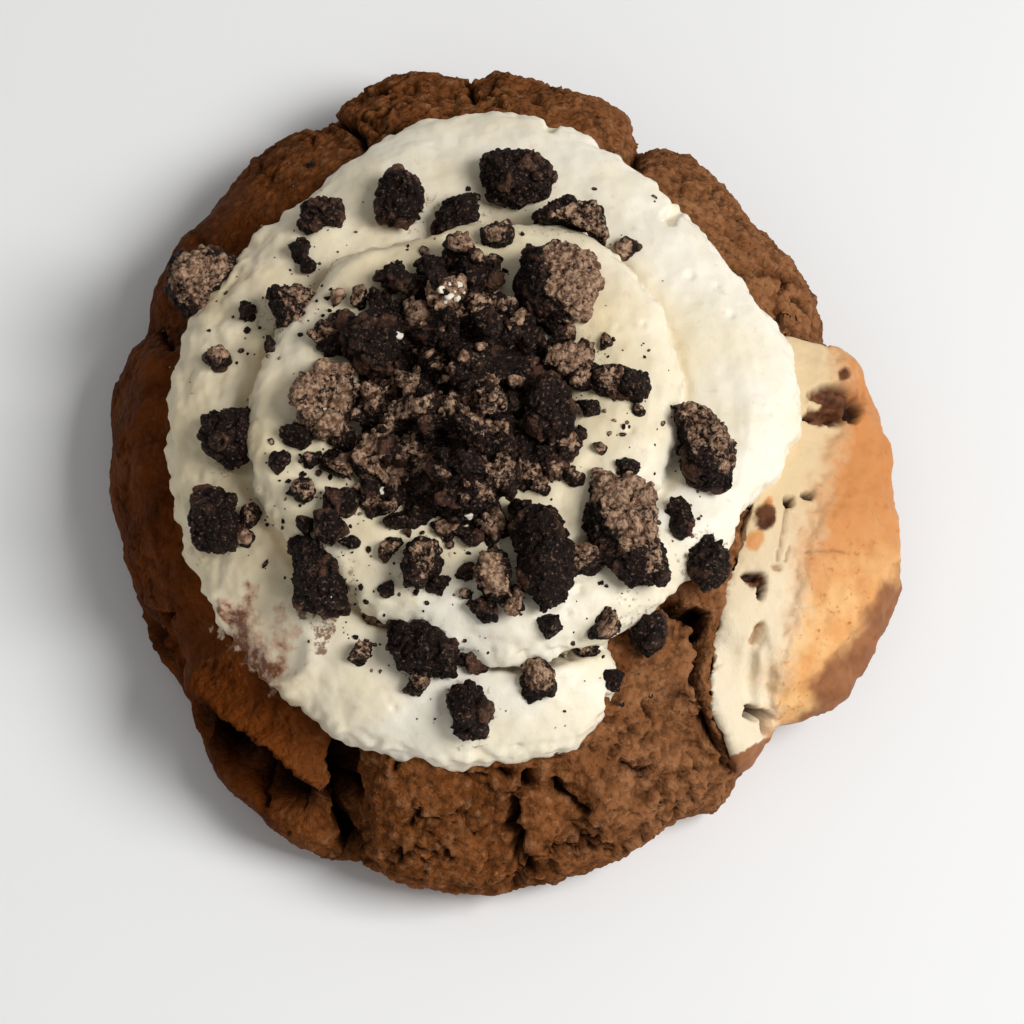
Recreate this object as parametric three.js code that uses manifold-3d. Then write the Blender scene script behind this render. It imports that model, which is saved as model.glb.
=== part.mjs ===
// Cookies and cream cookie: a thick cracked chocolate cookie with pale dough baked into its right side,
// two turns of piped cream on top, a heap of chocolate biscuit crumbs in the middle and broken biscuit
// scattered round it.
// Millimetres, +Z up, +X to the right and +Y away as it is seen from the front, standing on Z = 0.

import * as THREE from "three";
import { ImprovedNoise } from "three/addons/math/ImprovedNoise.js";
import { mergeVertices } from "three/addons/utils/BufferGeometryUtils.js";
import Module from "manifold-3d";

const wasm = await Module();
wasm.setup();

// Room left between one sub-part and the next.
const GAP = 0.3;

// Points nearer than this are taken as one.
const CLOSE = 0.004;

const DOUGH = {
  radius: 48.6, // mean radius of the outline seen from above
  stretch: 2.6, // longer than the mean by this along Y, shorter along X
  height: 25, // crown of the dome, under the cream
  waist: 8, // height of the widest girth
  foot: 0.87, // radius of the flat base as a share of the girth
  shoulder: 3.2, // squareness of the shoulder: 2 is round, more is fuller
  crown: 1.9, // squareness of the crown
  segments: 100, // facets round the girth
  crag: 0.9, // height of the lumps on the bare rim
  cragSize: 7, // distance from lump to lump
  bareFade: [0.42, 0.6], // climb from which the lumps fade out under the cream, and where they end
  footFade: [-1, -0.6], // climb where the lumps start at the foot, and where they are full
  crackSteps: 24, // places along a crack
  // Rows of facets from the foot to the crown, for the dough itself and for the plainer seat of the cream.
  rows: [-1, -0.8, -0.6, -0.4, -0.2, 0, 0.08, 0.15, 0.22, 0.29, 0.36, 0.43, 0.5, 0.58, 0.68, 0.84, 1],
  seatRows: [-1, 0, 0.2, 0.3, 0.4, 0.5, 0.6, 0.7, 0.85, 1],
};

// Bulges (out above 0), dips and narrow notches of the outline: angle and spread in degrees, reach in mm.
const LOBES = [
  { at: 8, spread: 10, out: 0.4 },
  { at: 28, spread: 14, out: -1.4 },
  { at: 50, spread: 16, out: -1.4 },
  { at: 67, spread: 3, out: -1.6 },
  { at: 104, spread: 33, out: 5.8 },
  { at: 114, spread: 3, out: -1.2 },
  { at: 140, spread: 14, out: 1 },
  { at: 155, spread: 3, out: -0.8 },
  { at: 167, spread: 19, out: 2.6 },
  { at: 212, spread: 5, out: -1.2 },
  { at: 235, spread: 16, out: 1.4 },
  { at: 270, spread: 16, out: 0.8 },
  { at: 300, spread: 24, out: -3.2 },
  { at: 304, spread: 4, out: 2 },
  { at: 316, spread: 3.5, out: -3 },
  { at: 340, spread: 18, out: 2.6 },
];

// Cracks in the bare rim, each along a few [angle in degrees, climb] places.
// Climb is -1 at the foot, 0 at the girth and 1 at the crown.
const CRACKS = [
  { path: [[243, 0.52], [247, 0.3], [249, 0.05]], width: 2.8, depth: 5 },
  { path: [[206, 0.2], [214, 0.14], [228, 0.16], [239, 0.22]], width: 2.4, depth: 2.6 },
  { path: [[265, 0.5], [270, 0.3], [272, 0.1]], width: 2.4, depth: 2.2 },
  { path: [[279, 0.46], [281, 0.2]], width: 2.4, depth: 2 },
  { path: [[300, 0.5], [304, 0.25], [306, 0]], width: 2.6, depth: 2.6 },
  { path: [[70, 0.45], [68, 0.2], [67, 0]], width: 2.6, depth: 2.8 },
  { path: [[96, 0.4], [95, 0.1]], width: 2.4, depth: 2.2 },
  { path: [[117, 0.4], [115, 0.1]], width: 2.8, depth: 1.5 },
  { path: [[157, 0.42], [155, 0.1]], width: 2.4, depth: 1.8 },
  { path: [[30, 0.45], [25, 0.2], [24, 0]], width: 2.6, depth: 2 },
];

// Pale dough baked into the right side: plan corners of the edge it shares with the chocolate dough.
const PALE = {
  seam: [[33, 15.6], [33.5, 5], [29, -10], [26, -21], [24.6, -30], [27.6, -37]],
  underside: 8, // chocolate dough shows below this height
  reach: 60, // outer side of the cutting block, clear of the rim
  swell: 0.7, // how far it stands proud of the chocolate dough at the rim
  swellFade: [0.3, 0.5], // climb from which that fades out, and where it ends
};

const CREAM = {
  centre: [-2, 1.5],
  stretch: 1.09, // the swirl is longer along Y by this
  start: -59, // angle of the torn outer end, in degrees
  // The bead after each number of degrees from that end: outer edge, half its width, its mid height
  // and how far its outer side droops.
  bead: [
    { turned: 0, edge: 37, half: 9, level: 22.6, droop: 2 },
    { turned: 50, edge: 38.4, half: 9.2, level: 22.6, droop: 2 },
    { turned: 100, edge: 37.2, half: 9, level: 22.6, droop: 2 },
    { turned: 130, edge: 37.8, half: 9, level: 22.6, droop: 2 },
    { turned: 172, edge: 35.6, half: 9, level: 22.8, droop: 2 },
    { turned: 210, edge: 39.2, half: 9.6, level: 22.4, droop: 2.2 },
    { turned: 256, edge: 35.8, half: 9, level: 22.8, droop: 2 },
    { turned: 296, edge: 38, half: 9.2, level: 23, droop: 2 },
    { turned: 322, edge: 32.8, half: 8.8, level: 24.8, droop: 1.8 },
    { turned: 346, edge: 29.6, half: 8.4, level: 27.2, droop: 1.4 },
    { turned: 378, edge: 28.8, half: 8.2, level: 28.8, droop: 1.2 },
    { turned: 410, edge: 26, half: 8, level: 29, droop: 1.2 },
    { turned: 470, edge: 28.2, half: 8, level: 29.2, droop: 1.2 },
    { turned: 520, edge: 24.4, half: 7.6, level: 29.2, droop: 1.2 },
    { turned: 553, edge: 21, half: 7, level: 29.2, droop: 1.2 },
    { turned: 620, edge: 24, half: 7, level: 29.2, droop: 1.2 },
    { turned: 665, edge: 23.4, half: 7, level: 29.2, droop: 1.2 },
    { turned: 790, edge: 14, half: 6, level: 28.4, droop: 1 },
  ],
  halfHeight: 4.2,
  squareness: 0.66, // 1 makes an elliptical section, less a fuller one
  endTurn: 14, // degrees over which an end closes
  lengths: [[0, 345], [325, 650], [630, 790]], // lengths the bead is joined from, in degrees turned
  step: 10.5, // degrees from one section to the next
  around: 12,
  coreRadius: 24,
  coreTop: 30.5,
  coreShoulder: 26.5, // height where the core starts to draw in
  coreCrown: 0.6, // radius of its flat top as a share
  coreFacets: 24,
};

const HEAP = {
  centre: [-5.6, 1.4],
  radius: 14.8,
  stretch: 1.24, // longer along Y by this
  bottom: 28,
  top: 36.6,
  facets: [14, 7], // facets round the mound and up it
  rim: 0.05, // thickness of the mound at its edge, as a share of its height
  crumbs: 60,
  crumbSize: [3.8, 6.2], // smallest and largest crumb across
  flatness: [0.6, 1], // thickness of the flattest and the tallest crumb, as a share of its size
  stand: 0.12, // height of a crumb's middle over the mound, as a share of its size
  seed: 11,
};

// Form of the larger biscuit pieces, which have their full outline at the second ring.
const CHUNK = {
  rings: [{ spread: 0.84, height: 0 }, { spread: 1.06, height: 0.36 }, { spread: 1, height: 0.68 }],
  lump: 0.16, // unevenness as a share of the size
  lumpSize: 2.6, // distance from lump to lump
  sink: 0.22, // share of the thickness below the surface that it lies on
};

// The larger pieces: place on plan, size along X, Y and Z, width of the top as a share, and the reach of
// the outline's corners, which lie at even turns from +X, as shares of half the size.
const CHUNKS = [
  { x: -35.6, y: 20.8, size: [9.4, 9.2, 7.4], top: 0.6, reach: [1, 1.15, 1.05, 1.25, 1, 0.95, 0.85, 0.8] },
  { x: -24.4, y: 13.4, size: [6.4, 6.6, 5], top: 0.66, reach: [0.75, 1, 1, 1.35, 0.75, 0.8, 1, 1.1] },
  { x: -12.1, y: 28.6, size: [6.4, 7, 6], top: 0.55, reach: [1, 0.95, 1.1, 1.1, 0.95, 1, 0.9, 0.9] },
  { x: -5.2, y: 27, size: [5.8, 5.8, 5], top: 0.55, reach: [0.85, 1.3, 0.95, 0.9, 0.9, 0.95, 0.9, 0.7] },
  { x: 2.2, y: 31.8, size: [9.4, 7, 6], top: 0.7, reach: [1, 0.95, 1, 1.25, 0.95, 1, 0.95, 0.95] },
  { x: 8.2, y: 24.4, size: [10, 6.4, 5], top: 0.66, reach: [0.95, 1, 0.95, 0.95, 1.1, 0.65, 0.65, 1.25] },
  { x: 6.6, y: 14.2, size: [10, 10.4, 8], top: 0.66, reach: [1, 1.15, 1.05, 1.05, 1, 1.05, 0.95, 1.05] },
  { x: 7.8, y: 5.8, size: [7.4, 5, 4.6], top: 0.6, reach: [0.95, 1.15, 0.8, 0.8, 0.9, 1.2, 0.8, 0.7] },
  { x: -20.4, y: -0.4, size: [7.6, 10, 5], top: 0.84, reach: [0.85, 1.3, 1, 1, 1.05, 1, 1, 1.05] },
  { x: -31.8, y: -2, size: [7.2, 7.4, 6], top: 0.66, reach: [1, 1.2, 0.95, 1.1, 0.95, 0.85, 1.05, 1] },
  { x: -33.4, y: -12, size: [6.2, 8.6, 4.8], top: 0.74, reach: [0.95, 0.95, 0.9, 1.2, 1, 0.95, 0.95, 1.15] },
  { x: -20.8, y: -19.4, size: [7, 10.8, 6.4], top: 0.62, reach: [0.85, 0.5, 0.95, 1.3, 0.9, 1.1, 1, 1.2] },
  { x: -8.7, y: -28.6, size: [8.6, 7.2, 6], top: 0.66, reach: [0.95, 0.8, 0.85, 1.3, 0.9, 0.95, 0.9, 1.2] },
  { x: -3.5, y: -35.6, size: [4.6, 6.8, 5], top: 0.62, reach: [1.05, 1, 1, 1.2, 1, 1.15, 1, 1.15] },
  { x: 4.9, y: -19.2, size: [7.2, 14, 7], top: 0.58, reach: [1, 0.85, 0.9, 1.35, 0.95, 0.85, 1, 1.2] },
  { x: 14.9, y: -14.8, size: [10.4, 16, 7], top: 0.66, reach: [0.65, 0.8, 0.8, 1.2, 1, 0.8, 0.95, 1.2] },
  { x: 23.6, y: -17, size: [6.2, 6.6, 5.6], top: 0.6, reach: [0.95, 1, 0.95, 1, 0.95, 0.7, 0.95, 0.95] },
  { x: 17.1, y: -25, size: [4.2, 5.6, 5.4], top: 0.6, reach: [0.95, 1.05, 1, 1, 0.95, 0.95, 1, 0.9] },
  { x: 23.8, y: -4.6, size: [8.4, 10.8, 7], top: 0.74, reach: [0.85, 0.85, 0.95, 1.4, 0.7, 0.7, 0.8, 1.1] },
  { x: 5.7, y: -1.6, size: [6.2, 8, 6.4], top: 0.56, reach: [0.95, 0.75, 1, 1, 1, 1.05, 1, 1.15] },
  { x: -0.6, y: -21.8, size: [4.8, 7.2, 5.4], top: 0.62, reach: [0.9, 0.8, 1, 0.95, 0.9, 0.9, 0.85, 1.35] },
  { x: -9, y: -20, size: [5.2, 7, 5.6], top: 0.58, reach: [1, 1.05, 0.9, 0.8, 1, 1.15, 0.85, 0.75] },
  { x: -14.5, y: 7, size: [8, 7.2, 6.2], top: 0.62, reach: [1, 1, 1.05, 1.15, 1, 0.9, 1.05, 0.95] },
];

// Smaller crumbs pressed into the cream: place on plan and size across.
const CRUMBS = [
  { x: -30.4, y: 14, size: 4 },
  { x: -21.6, y: 25.4, size: 4.6 },
  { x: -23.8, y: 20.4, size: 3.6 },
  { x: -29.4, y: -12.6, size: 2.6 },
  { x: -29, y: -15.4, size: 2.6 },
  { x: -26.6, y: 9.4, size: 3 },
  { x: -18.8, y: -11.6, size: 3.4 },
  { x: -10, y: -34, size: 3.6 },
  { x: 4.4, y: -32.8, size: 4.2 },
  { x: -16.8, y: -29.4, size: 3 },
  { x: 10.6, y: -25.4, size: 3.6 },
  { x: 10.4, y: 1.2, size: 4.2 },
  { x: 15.2, y: 0.2, size: 4.6 },
  { x: 6.6, y: -28, size: 3.2 },
  { x: -33.4, y: 7, size: 3.6 },
  { x: 16.8, y: -3.4, size: 2.8 },
  { x: -15.4, y: -25, size: 2.6 },
  { x: -26, y: 29, size: 2.4 },
  { x: 24, y: 16, size: 2.2 },
  { x: 30, y: 3, size: 2.2 },
  { x: 16, y: 27, size: 2.4 },
  { x: -22, y: -30, size: 2.4 },
];

// Form of the crumbs: unevenness and thickness as shares of the size, and the stand of their middle.
const CRUMB = {
  lump: 0.28,
  lumps: 1.6, // lumps to half a crumb
  squareness: 0.8, // 1 is round, less is blockier
  narrowness: 0.85, // breadth as a share of the length, in the heap
  flatness: 0.8, // thickness as a share of the length, on the cream
  stand: 0.15, // height of the middle over the cream
};

// Step through the noise from one numbered piece to the next, so that no two are alike.
const PIECE_STEP = new THREE.Vector3(7.3, 0, 3.1);

const SKY = 200; // height from which the surfaces are found

const COLOURS = {
  dough: { color: "#54301c", roughness: 0.75, metalness: 0 },
  pale: { color: "#dcab72", roughness: 0.65, metalness: 0 },
  cream: { color: "#f2ecdc", roughness: 0.5, metalness: 0 },
  biscuit: { color: "#2a1a13", roughness: 0.85, metalness: 0 },
};

const rad = THREE.MathUtils.degToRad;
const lerp = THREE.MathUtils.lerp;
const noise = new ImprovedNoise();
const bell = (x) => Math.exp(-x * x);

// Signed difference between two angles, within half a turn.
function turnBetween(a, b) {
  return Math.atan2(Math.sin(a - b), Math.cos(a - b));
}

// Noise at a place on a numbered piece.
function pieceNoise(place, number) {
  const { x, y, z } = place.clone().addScaledVector(PIECE_STEP, number);
  return noise.noise(x, y, z);
}

// Sizes of the cream's bead after a number of degrees, blended smoothly.
function beadAt(turned) {
  const next = Math.max(1, CREAM.bead.findIndex((key) => key.turned >= turned));
  const [before, after] = [CREAM.bead[next - 1], CREAM.bead[next]];
  const share = THREE.MathUtils.smoothstep(turned, before.turned, after.turned);
  return {
    edge: lerp(before.edge, after.edge, share),
    half: lerp(before.half, after.half, share),
    level: lerp(before.level, after.level, share),
    droop: lerp(before.droop, after.droop, share),
  };
}

// Power that keeps the sign, for squared-off sections.
function signedPower(value, power) {
  return Math.sign(value) * Math.abs(value) ** power;
}

function solidFrom(geometry) {
  const bare = new THREE.BufferGeometry();
  bare.setAttribute("position", geometry.getAttribute("position"));
  bare.setIndex(geometry.index);
  const merged = mergeVertices(bare, CLOSE);
  const corners = [];
  for (let i = 0; i < merged.index.count; i += 3) {
    const [a, b, c] = [0, 1, 2].map((step) => merged.index.getX(i + step));
    if (a !== b && b !== c && c !== a) corners.push(a, b, c);
  }
  return new wasm.Manifold(new wasm.Mesh({
    numProp: 3,
    vertProperties: new Float32Array(merged.getAttribute("position").array),
    triVerts: new Uint32Array(corners),
  }));
}

function geometryFrom(solid) {
  const mesh = solid.getMesh();
  const geometry = new THREE.BufferGeometry();
  geometry.setAttribute("position", new THREE.BufferAttribute(mesh.vertProperties, 3));
  geometry.setIndex(new THREE.BufferAttribute(mesh.triVerts, 1));
  geometry.computeVertexNormals();
  return geometry;
}

// The largest body of a solid that a cut may have left in scraps, then again once close points have joined.
function largestBody(solid) {
  const largest = (bodies) => bodies.reduce((best, body) => (body.volume() > best.volume() ? body : best));
  const joined = solidFrom(geometryFrom(largest(solid.decompose())));
  return solidFrom(geometryFrom(largest(joined.decompose())));
}

// A solid scaled about its middle so that each side moves out by a distance, or in where that is below 0.
function grown(solid, distance) {
  const { min, max } = solid.boundingBox();
  const middle = min.map((low, axis) => (low + max[axis]) / 2);
  const growth = min.map((low, axis) => 1 + (2 * distance) / (max[axis] - low));
  return solid
    .translate(middle.map((value) => -value))
    .scale(growth)
    .translate(middle);
}

// A solid cut to the shape of what it lies on and against, drawn in by the gap and raised until it is clear.
// The neighbours also cut it from a little lower, so that it stays clear of any that overhang it.
function settled(solid, neighbours) {
  const lowered = neighbours.map((neighbour) => neighbour.translate([0, 0, -2 * GAP]));
  const cut = largestBody(wasm.Manifold.difference([solid, ...neighbours, ...lowered]));
  let raised = grown(cut, -GAP).translate([0, 0, GAP]);
  while (neighbours.some((neighbour) => !raised.intersect(neighbour).isEmpty())) {
    raised = raised.translate([0, 0, GAP / 2]);
  }
  return largestBody(raised);
}

// Radius of the dough's outline at an angle.
function outlineAt(angle) {
  let radius = DOUGH.radius - DOUGH.stretch * Math.cos(2 * angle);
  for (const lobe of LOBES) {
    radius += lobe.out * bell(turnBetween(angle, rad(lobe.at)) / rad(lobe.spread));
  }
  return radius;
}

// Radius share and height of the smooth dough at a climb.
function profileAt(climb) {
  if (climb < 0) {
    const lower = ((1 + climb) * Math.PI) / 2;
    return {
      share: DOUGH.foot + (1 - DOUGH.foot) * Math.sin(lower),
      height: DOUGH.waist * (1 - Math.cos(lower)),
    };
  }
  const upper = (climb * Math.PI) / 2;
  return {
    share: Math.max(Math.cos(upper), 0) ** (2 / DOUGH.shoulder),
    height: DOUGH.waist + (DOUGH.height - DOUGH.waist) * Math.sin(upper) ** (2 / DOUGH.crown),
  };
}

function smoothDough(angle, climb) {
  const { share, height } = profileAt(climb);
  const radius = outlineAt(angle) * share;
  return new THREE.Vector3(radius * Math.cos(angle), radius * Math.sin(angle), height);
}

// Direction out of the smooth dough.
function outOf(angle, climb) {
  const step = 0.01;
  const low = profileAt(Math.max(climb - step, -1));
  const high = profileAt(Math.min(climb + step, 1));
  const rise = high.height - low.height;
  const fall = (low.share - high.share) * DOUGH.radius;
  const length = Math.hypot(rise, fall);
  return new THREE.Vector3(rise * Math.cos(angle), rise * Math.sin(angle), fall).divideScalar(length);
}

const crackLines = CRACKS.map((crack) => {
  const knots = crack.path.map(([degrees, climb]) => smoothDough(rad(degrees), climb));
  return { ...crack, points: new THREE.CatmullRomCurve3(knots).getPoints(DOUGH.crackSteps) };
});

// How far the bare rim stands out of the smooth dough: lumps, less the cracks.
function reliefAt(point, climb) {
  const bareRim = 1 - THREE.MathUtils.smoothstep(climb, ...DOUGH.bareFade);
  const aboveFoot = THREE.MathUtils.smoothstep(climb, ...DOUGH.footFade);
  const { x, y, z } = point.clone().divideScalar(DOUGH.cragSize);
  let relief = DOUGH.crag * (noise.noise(x, y, z) + 0.5 * noise.noise(2 * x, 2 * y, 2 * z));
  for (const { points, width, depth } of crackLines) {
    const distance = Math.min(...points.map((place) => place.distanceTo(point)));
    relief -= depth * bell(distance / width);
  }
  return relief * bareRim * aboveFoot;
}

// Dough shape as a turned profile; the moved function gives each of its points' distance outwards.
function doughSolid(climbs, segments, moved) {
  const profile = climbs.map((climb) => {
    const { share, height } = profileAt(climb);
    return new THREE.Vector2(share * DOUGH.radius, height);
  });
  const geometry = new THREE.LatheGeometry([new THREE.Vector2(0, 0), ...profile], segments);
  const position = geometry.getAttribute("position");
  const rows = profile.length + 1;
  for (let index = 0; index < position.count; index += 1) {
    const row = index % rows;
    if (row === 0) {
      position.setXYZ(index, 0, 0, 0);
      continue;
    }
    const turn = Math.floor(index / rows) % segments;
    const angle = (turn / segments) * 2 * Math.PI;
    const climb = climbs[row - 1];
    const point = smoothDough(angle, climb);
    point.addScaledVector(outOf(angle, climb), moved(point, climb));
    if (row === 1) point.z = 0;
    if (row === rows - 1) point.set(0, 0, point.z);
    position.setXYZ(index, point.x, point.y, point.z);
  }
  return solidFrom(geometry);
}

// Block standing over the pale dough's share of the plan.
function paleBlock(inset) {
  const outline = new THREE.Shape();
  const seam = PALE.seam.map(([x, y]) => new THREE.Vector2(x + inset, y));
  outline.moveTo(PALE.reach, seam[0].y - inset);
  outline.lineTo(seam[0].x, seam[0].y - inset);
  outline.splineThru(seam.slice(1));
  outline.lineTo(PALE.reach, seam[seam.length - 1].y);
  const shape = { depth: PALE.reach, bevelEnabled: false, curveSegments: 4 };
  const block = new THREE.ExtrudeGeometry(outline, shape);
  block.translate(0, 0, PALE.underside + inset);
  return solidFrom(block);
}

// Piped bead from one number of degrees turned to another: a sphere drawn out along the swirl.
function creamBead(from, to) {
  const rows = Math.round((to - from) / CREAM.step);
  const geometry = new THREE.SphereGeometry(1, CREAM.around, rows);
  const position = geometry.getAttribute("position");
  const columns = CREAM.around + 1;
  for (let index = 0; index < position.count; index += 1) {
    const share = Math.floor(index / columns) / rows;
    const turned = lerp(from, to, share);
    const section = (-((index % columns) % CREAM.around) / CREAM.around) * 2 * Math.PI;
    const fromEnd = Math.min(1, Math.min(turned - from, to - turned) / CREAM.endTurn);
    const blunt = Math.sqrt(1 - (1 - fromEnd) ** 2);
    const { edge, half, level, droop } = beadAt(turned);
    const across = blunt * half * signedPower(Math.cos(section), CREAM.squareness);
    const up = blunt * CREAM.halfHeight * signedPower(Math.sin(section), CREAM.squareness);
    const outside = Math.max(across / half, 0);
    const angle = rad(CREAM.start - turned);
    const radius = edge - half + across;
    position.setXYZ(
      index,
      CREAM.centre[0] + radius * Math.cos(angle),
      CREAM.centre[1] + radius * CREAM.stretch * Math.sin(angle),
      level + up - droop * outside ** 2,
    );
  }
  return solidFrom(geometry);
}

// Cream under the second turn and in the middle of the swirl.
function creamCore() {
  const profile = [
    new THREE.Vector2(0, DOUGH.waist),
    new THREE.Vector2(CREAM.coreRadius, DOUGH.waist),
    new THREE.Vector2(CREAM.coreRadius, CREAM.coreShoulder),
    new THREE.Vector2(CREAM.coreCrown * CREAM.coreRadius, CREAM.coreTop),
    new THREE.Vector2(0, CREAM.coreTop),
  ];
  const core = new THREE.LatheGeometry(profile, CREAM.coreFacets);
  core.rotateX(Math.PI / 2);
  core.translate(CREAM.centre[0], CREAM.centre[1], 0);
  return solidFrom(core);
}

// Larger biscuit piece, standing on its place: its outline carried up through the rings to a smaller top.
function brokenPiece({ size: [wide, deep, tall], top, reach }, number) {
  const outline = new THREE.Shape(reach.map((share, corner) => {
    const angle = (corner / reach.length) * 2 * Math.PI;
    const half = share / 2;
    return new THREE.Vector2(half * wide * Math.cos(angle), half * deep * Math.sin(angle));
  }));
  const rings = [...CHUNK.rings, { spread: top, height: 1 }];
  const steps = rings.length - 1;
  const geometry = new THREE.ExtrudeGeometry(outline, { depth: steps, steps, bevelEnabled: false });
  const position = geometry.getAttribute("position");
  for (let index = 0; index < position.count; index += 1) {
    const point = new THREE.Vector3().fromBufferAttribute(position, index);
    const { spread, height } = rings[Math.round(point.z)];
    point.set(point.x * spread, point.y * spread, height * tall);
    const uneven = 1 + CHUNK.lump * pieceNoise(point.clone().divideScalar(CHUNK.lumpSize), number);
    point.multiplyScalar(uneven);
    position.setXYZ(index, point.x, point.y, point.z);
  }
  return geometry;
}

// Small crumb: a blocky lump with its middle at the origin.
function crumbShape(size, number) {
  const geometry = new THREE.IcosahedronGeometry(1, 0);
  const position = geometry.getAttribute("position");
  for (let index = 0; index < position.count; index += 1) {
    const point = new THREE.Vector3().fromBufferAttribute(position, index);
    point.multiplyScalar(1 + CRUMB.lump * pieceNoise(point.clone().multiplyScalar(CRUMB.lumps), number));
    point.set(...point.toArray().map((value) => signedPower(value, CRUMB.squareness)));
    point.multiply(size).multiplyScalar(0.5);
    position.setXYZ(index, point.x, point.y, point.z);
  }
  return geometry;
}

function named(name, solid, look) {
  const mesh = new THREE.Mesh(
    geometryFrom(solid),
    new THREE.MeshStandardMaterial({ ...look, flatShading: true }),
  );
  mesh.name = name;
  return mesh;
}

// Height of the top of the given solids at a place on plan.
function heightOver(meshes, x, y) {
  const ray = new THREE.Raycaster(new THREE.Vector3(x, y, SKY), new THREE.Vector3(0, 0, -1));
  return ray.intersectObjects(meshes)[0].point.z;
}

// Chocolate dough, with the pale dough's place cut out of it, and the pale dough
const wholeDough = doughSolid(DOUGH.rows, DOUGH.segments, reliefAt);
const dough = largestBody(wholeDough.subtract(paleBlock(0)));
const paleDough = doughSolid(DOUGH.rows, DOUGH.segments, (point, climb) => {
  const rim = 1 - THREE.MathUtils.smoothstep(climb, ...PALE.swellFade);
  return reliefAt(point, climb) + PALE.swell * rim;
});
const pale = largestBody(paleDough.intersect(paleBlock(GAP)));

// Cream, shaped to the smooth dough below it
const seat = doughSolid(DOUGH.seatRows, DOUGH.segments / 2, () => 2 * GAP);
const beads = CREAM.lengths.map(([from, to]) => creamBead(from, to));
const plainCream = largestBody(wasm.Manifold.union([creamCore(), ...beads]).subtract(seat));
const creamMesh = named("cream", plainCream, COLOURS.cream);

// Mound in the middle that carries the heap's crumbs
const moundShape = new THREE.SphereGeometry(1, ...HEAP.facets);
moundShape.rotateX(Math.PI / 2);
const moundPlaces = moundShape.getAttribute("position");
for (let index = 0; index < moundPlaces.count; index += 1) {
  moundPlaces.setZ(index, Math.max(moundPlaces.getZ(index), -HEAP.rim));
}
moundShape.scale(HEAP.radius, HEAP.radius * HEAP.stretch, HEAP.top - HEAP.bottom);
moundShape.translate(HEAP.centre[0], HEAP.centre[1], HEAP.bottom);
const mound = settled(solidFrom(moundShape), [plainCream]);

// Larger pieces, each resting on the cream, the mound or the dough with the gap below it
const doughMesh = named("chocolate_dough", dough, COLOURS.dough);
const paleMesh = named("pale_dough", pale, COLOURS.pale);
const supports = [doughMesh, paleMesh, creamMesh, named("mound", mound, COLOURS.biscuit)];
const taken = [dough, pale, plainCream, mound];
const chunks = [];
CHUNKS.forEach((place, index) => {
  const geometry = brokenPiece(place, index);
  const sunk = CHUNK.sink * place.size[2];
  geometry.translate(place.x, place.y, heightOver(supports, place.x, place.y) - sunk);
  const chunk = settled(solidFrom(geometry), taken);
  chunks.push(chunk);
  taken.push(grown(chunk, GAP));
});
const chunkRoom = chunks.flatMap((chunk) => [chunk, grown(chunk, GAP)]);

// A solid with a crumb fused on, or left as it was where the crumb would meet one of the others
function withCrumb(solid, crumb, others) {
  const clear = others.every((other) => crumb.intersect(other).isEmpty());
  return clear ? solid.add(crumb) : solid;
}

// Crumbs over the mound, spread evenly and clear of the larger pieces
let heap = mound;
THREE.MathUtils.seededRandom(HEAP.seed);
for (let index = 0; index < HEAP.crumbs; index += 1) {
  const share = Math.sqrt((index + 0.5) / HEAP.crumbs);
  const angle = index * Math.PI * (3 - Math.sqrt(5));
  const size = lerp(...HEAP.crumbSize, THREE.MathUtils.seededRandom());
  const flat = lerp(...HEAP.flatness, THREE.MathUtils.seededRandom());
  const crumb = crumbShape(new THREE.Vector3(size, size * CRUMB.narrowness, size * flat), index);
  crumb.rotateZ(angle);
  const x = HEAP.centre[0] + HEAP.radius * share * Math.cos(angle);
  const y = HEAP.centre[1] + HEAP.radius * HEAP.stretch * share * Math.sin(angle);
  crumb.translate(x, y, heightOver(supports, x, y) + HEAP.stand * size);
  heap = withCrumb(heap, settled(solidFrom(crumb), [plainCream]), chunkRoom);
}
heap = largestBody(wasm.Manifold.difference([heap, ...chunkRoom]));

// Crumbs pressed into the cream, clear of the heap and of the larger pieces
let cream = plainCream;
const notCream = [dough, pale, heap].map((solid) => grown(solid, GAP)).concat(chunkRoom);
CRUMBS.forEach(({ x, y, size }, index) => {
  const crumb = crumbShape(new THREE.Vector3(size, size, size * CRUMB.flatness), index + HEAP.crumbs);
  crumb.translate(x, y, heightOver([creamMesh], x, y) + CRUMB.stand * size);
  cream = withCrumb(cream, solidFrom(crumb), notCream);
});
cream = largestBody(cream);

const group = new THREE.Group();
group.name = "cookies_and_cream_cookie";
group.add(doughMesh, paleMesh);
group.add(named("cream_swirl", cream, COLOURS.cream), named("crumb_heap", heap, COLOURS.biscuit));
chunks.forEach((solid, index) => {
  const number = String(index + 1).padStart(2, "0");
  group.add(named(`biscuit_piece_${number}`, solid, COLOURS.biscuit));
});

// The origin goes to the middle of the base.
const box = new THREE.Box3().setFromObject(group);
const middle = box.getCenter(new THREE.Vector3());
group.position.set(-middle.x, -middle.y, -box.min.z);

export default group;
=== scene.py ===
"""Looks of a cookies and cream cookie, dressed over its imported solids.

Meshes are in metres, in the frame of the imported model.  The sizes in the classes and all sculpting are in
millimetres.  Places that follow the photograph are given as its pixels, in an image of 1024 by 1024.
"""

import itertools
import logging
import math
from dataclasses import astuple, dataclass, field
from enum import Enum
from typing import Any, Iterable, Sequence

import bmesh
import bpy
import numpy as np
from mathutils import Euler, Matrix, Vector
from mathutils.bvhtree import BVHTree

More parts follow.
